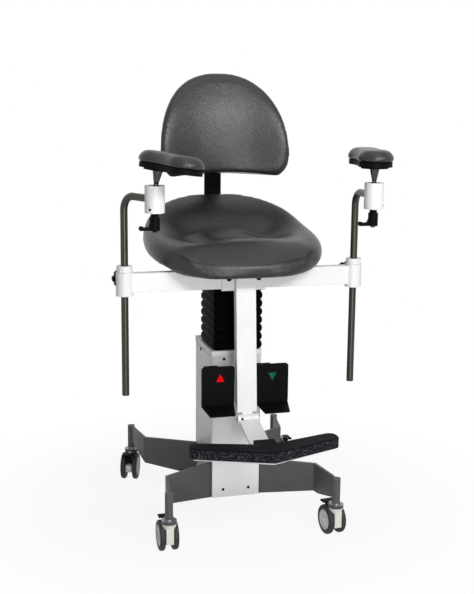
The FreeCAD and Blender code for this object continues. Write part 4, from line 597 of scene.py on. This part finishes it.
def pleat_ring(middle, half, corner, height):
    """A square ring of points with round corners."""
    corner_steps = 5
    ring = []
    for quarter, (way_x, way_y) in enumerate(((1, 1), (-1, 1), (-1, -1), (1, -1))):
        for step in range(corner_steps + 1):
            turn = math.pi / 2 * (quarter + step / corner_steps)
            x = middle[0] + way_x * (half[0] - corner) + corner * math.cos(turn)
            y = middle[1] + way_y * (half[1] - corner) + corner * math.sin(turn)
            ring.append((x, y, height))
    return ring


def bellows():
    """Square pleats with rounded ridges."""
    middle, half = (0.004, -0.016), (0.065, 0.074)
    foot, full, clear = 0.45, 0.1717, 0.0002
    folds, steps = 8, 10
    deep, corner, roundness, thickness = 0.005, 0.008, 0.55, 0.0015
    rings = []
    for level in range(folds * steps + 1):
        fold = level / steps
        inset = deep * (1 - abs(math.sin(math.pi * fold)) ** roundness)
        height = foot + clear + (full - 2 * clear) * fold / folds
        rings.append(pleat_ring(middle, (half[0] - inset, half[1] - inset), corner, height))
    vertices = [point for ring in rings for point in ring]
    item = piece("pleated_bellows", vertices, skin(len(rings), len(rings[0])), RUBBER, "base")
    wall = item.modifiers.new("wall", "SOLIDIFY")
    wall.thickness = thickness
    wall.offset = -1
    applied(item)
    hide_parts("bellows")
    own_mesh(item)


bellows()


# Small pieces


def hub_cover(name, body, place):
    """Cover plate of a wheel, with its rim, groove and middle cap."""
    profile = (
        (0.0257, -0.0001),
        (0.0257, 0.0010),
        (0.0250, 0.0017),
        (0.0212, 0.0019),
        (0.0202, 0.0012),
        (0.0190, 0.0008),
        (0.0110, 0.0011),
        (0.0088, 0.0016),
        (0.0080, 0.0026),
        (0.0070, 0.0031),
        (0.0020, 0.0033),
    )
    piece(name, *turned(profile, place, steps=64), HUB, body)


# Distance of a hub's face from the middle of its wheel pair.
HUB_FACE = 0.0215

for corner in CASTERS:
    roll = joints[f"wheels_{corner}_roll"]
    axis = Vector(roll["axis"]).normalized()
    for name, way in (("inner", -1), ("outer", 1)):
        place = facing(axis * way, Vector(roll["pos_m"]) + axis * way * HUB_FACE)
        hub_cover(f"hub_{corner}_{name}", f"wheels_{corner}", place)


def pedal_sign(name, body, finish, middle_x, base, tip):
    """A raised triangle on a pedal plate, between the heights of its base and its tip."""
    half, plate, lift, taper = 0.0111, -0.17595, 0.0004, 0.06
    centre = (base * 2 + tip) / 3
    outer = [(middle_x - half, base), (middle_x + half, base), (middle_x, tip)]
    inner = [(x + (middle_x - x) * taper, z + (centre - z) * taper) for x, z in outer]
    vertices = [(x, plate, z) for x, z in outer] + [(x, plate - lift, z) for x, z in inner]
    item = piece(name, vertices, skin(2, 3) + [(3, 4, 5)], finish, body, smooth=False)
    shape = bmesh.new()
    shape.from_mesh(item.data)
    bmesh.ops.holes_fill(shape, edges=shape.edges)
    bmesh.ops.recalc_face_normals(shape, faces=shape.faces)
    shape.to_mesh(item.data)
    shape.free()


pedal_sign("raise_sign", "pedal_up", RED, middle_x=-0.0645, base=0.3930, tip=0.4135)
pedal_sign("lower_sign", "pedal_down", GREEN, middle_x=0.0700, base=0.4091, tip=0.3883)


def set_screw(name, body, middle, direction):
    """A hexagon socket set screw, sunk in its thread."""
    profile = (
        (0.0030, -0.0006),
        (0.0030, 0.0003),
        (0.0026, 0.0006),
        (0.0016, 0.0006),
        (0.0015, 0.0003),
    )
    piece(name, *turned(profile, facing(direction, middle), steps=24), BLACK, body)


# Height of the ball sockets' screws above the floor.
SOCKET_SCREW_HEIGHT = 0.834

for side, way in (("left", (-0.62, -0.78, 0)), ("right", (0.91, -0.41, 0))):
    low, high = (Vector(corner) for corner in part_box(f"{side}_ball_socket"))
    direction = Vector(way).normalized()
    middle = ((low + high) / 2).xy.to_3d() + direction * (high.x - low.x) / 2
    set_screw(f"{side}_socket_screw", f"{side}_arm", middle + UP * SOCKET_SCREW_HEIGHT, direction)

hinge_screw = Vector((-0.0163, -0.2114, 0.3045))
set_screw("hinge_screw", "footrest", hinge_screw, direction=(0, -0.96, 0.28))


# Studio


def cleared(owner):
    """The emptied node tree of a world or a material."""
    owner.use_nodes = True
    owner.node_tree.nodes.clear()
    return owner.node_tree


def white_light(tree, kind, strength):
    """White light of this strength from a new node."""
    node = tree.nodes.new(kind)
    node.inputs["Color"].default_value = (1, 1, 1, 1)
    node.inputs["Strength"].default_value = strength
    return node.outputs[0]


def seen_rays(tree):
    """1 for rays that show the background: straight, in gloss or through glass."""
    path = tree.nodes.new("ShaderNodeLightPath").outputs
    unbent = combined(tree, "MAXIMUM", path["Is Camera Ray"], path["Is Glossy Ray"])
    return combined(tree, "MAXIMUM", unbent, path["Is Transmission Ray"])


def send_mix(tree, output, share, first, second):
    """Sends a mix of two shaders to a new output node."""
    mix = tree.nodes.new("ShaderNodeMixShader")
    tree.links.new(share, mix.inputs["Fac"])
    tree.links.new(first, mix.inputs[1])
    tree.links.new(second, mix.inputs[2])
    tree.links.new(mix.outputs["Shader"], tree.nodes.new(output).inputs["Surface"])


def studio_world():
    """White to look at, with a soft light from all sides."""
    scene.world = bpy.data.worlds.new("studio")
    tree = cleared(scene.world)
    soft = white_light(tree, "ShaderNodeBackground", strength=0.12)
    white = white_light(tree, "ShaderNodeBackground", strength=1.0)
    send_mix(tree, "ShaderNodeOutputWorld", seen_rays(tree), soft, white)


def studio_floor():
    """A plain pale floor that keeps the chair's shadow."""
    half, height, grey = 9, -0.0003, 0.82
    corners = [(x * half, y * half, height) for x, y in ((-1, -1), (1, -1), (1, 1), (-1, 1))]
    mesh = bpy.data.meshes.new("floor")
    mesh.from_pydata(corners, [], [(0, 1, 2, 3)])
    floor = bpy.data.objects.new("floor", mesh)
    scene.collection.objects.link(floor)
    material = bpy.data.materials.new("pale_floor")
    mesh.materials.append(material)
    tree = cleared(material)
    matt = tree.nodes.new("ShaderNodeBsdfDiffuse")
    matt.inputs["Color"].default_value = (grey, grey, grey, 1)
    bright = white_light(tree, "ShaderNodeEmission", strength=1.0)
    reach = tree.nodes.new("ShaderNodeVectorMath")
    reach.operation = "LENGTH"
    tree.links.new(tree.nodes.new("ShaderNodeTexCoord").outputs["Object"], reach.inputs[0])
    fade = ranged(
        tree, reach.outputs["Value"], start=0.3, end=0.9, low=0.9, high=1.0, interpolation="SMOOTHSTEP"
    )
    share = combined(tree, "MULTIPLY", seen_rays(tree), fade)
    send_mix(tree, "ShaderNodeOutputMaterial", share, matt.outputs["BSDF"], bright)


def lamp(name, point, target, width, height, power):
    """A lamp with a flat rectangular face, at a point and turned to its target."""
    light = bpy.data.lights.new(name, "AREA")
    light.shape = "RECTANGLE"
    light.size = width
    light.size_y = height
    light.energy = power
    item = bpy.data.objects.new(name, light)
    item.matrix_world = facing(Vector(point) - Vector(target), Vector(point))
    item.visible_camera = False
    scene.collection.objects.link(item)


def camera():
    """The photograph's point of view."""
    point = (-0.703, -2.674, 1.119)
    heading, dip, roll = (math.radians(angle) for angle in (15.21, 11.21, 0.57))
    level = Vector((math.sin(heading), math.cos(heading), 0))
    ahead = level * math.cos(dip) - UP * math.sin(dip)
    right = Vector((math.cos(heading), -math.sin(heading), 0))
    up = right.cross(ahead)
    across = right * math.cos(roll) + up * math.sin(roll)
    above = up * math.cos(roll) - right * math.sin(roll)
    turn = Matrix((across, above, -ahead)).transposed().to_4x4()
    lens = bpy.data.cameras.new("photo_view")
    lens.lens = 65.33
    lens.sensor_width = 36
    item = bpy.data.objects.new("photo_view", lens)
    item.matrix_world = Matrix.Translation(point) @ turn
    scene.collection.objects.link(item)
    scene.camera = item


studio_world()
studio_floor()
lamp("key", (0.6, -2.6, 2.2), target=(0, 0, 0.9), width=2.2, height=0.45, power=60)
lamp("strip", (-0.14, -2.1, 0.6), target=(-0.14, 0, 0.6), width=0.4, height=1.18, power=14)
lamp("top", (0.2, -0.6, 3.1), target=(0, 0, 0.7), width=1.8, height=1.4, power=8)
camera()
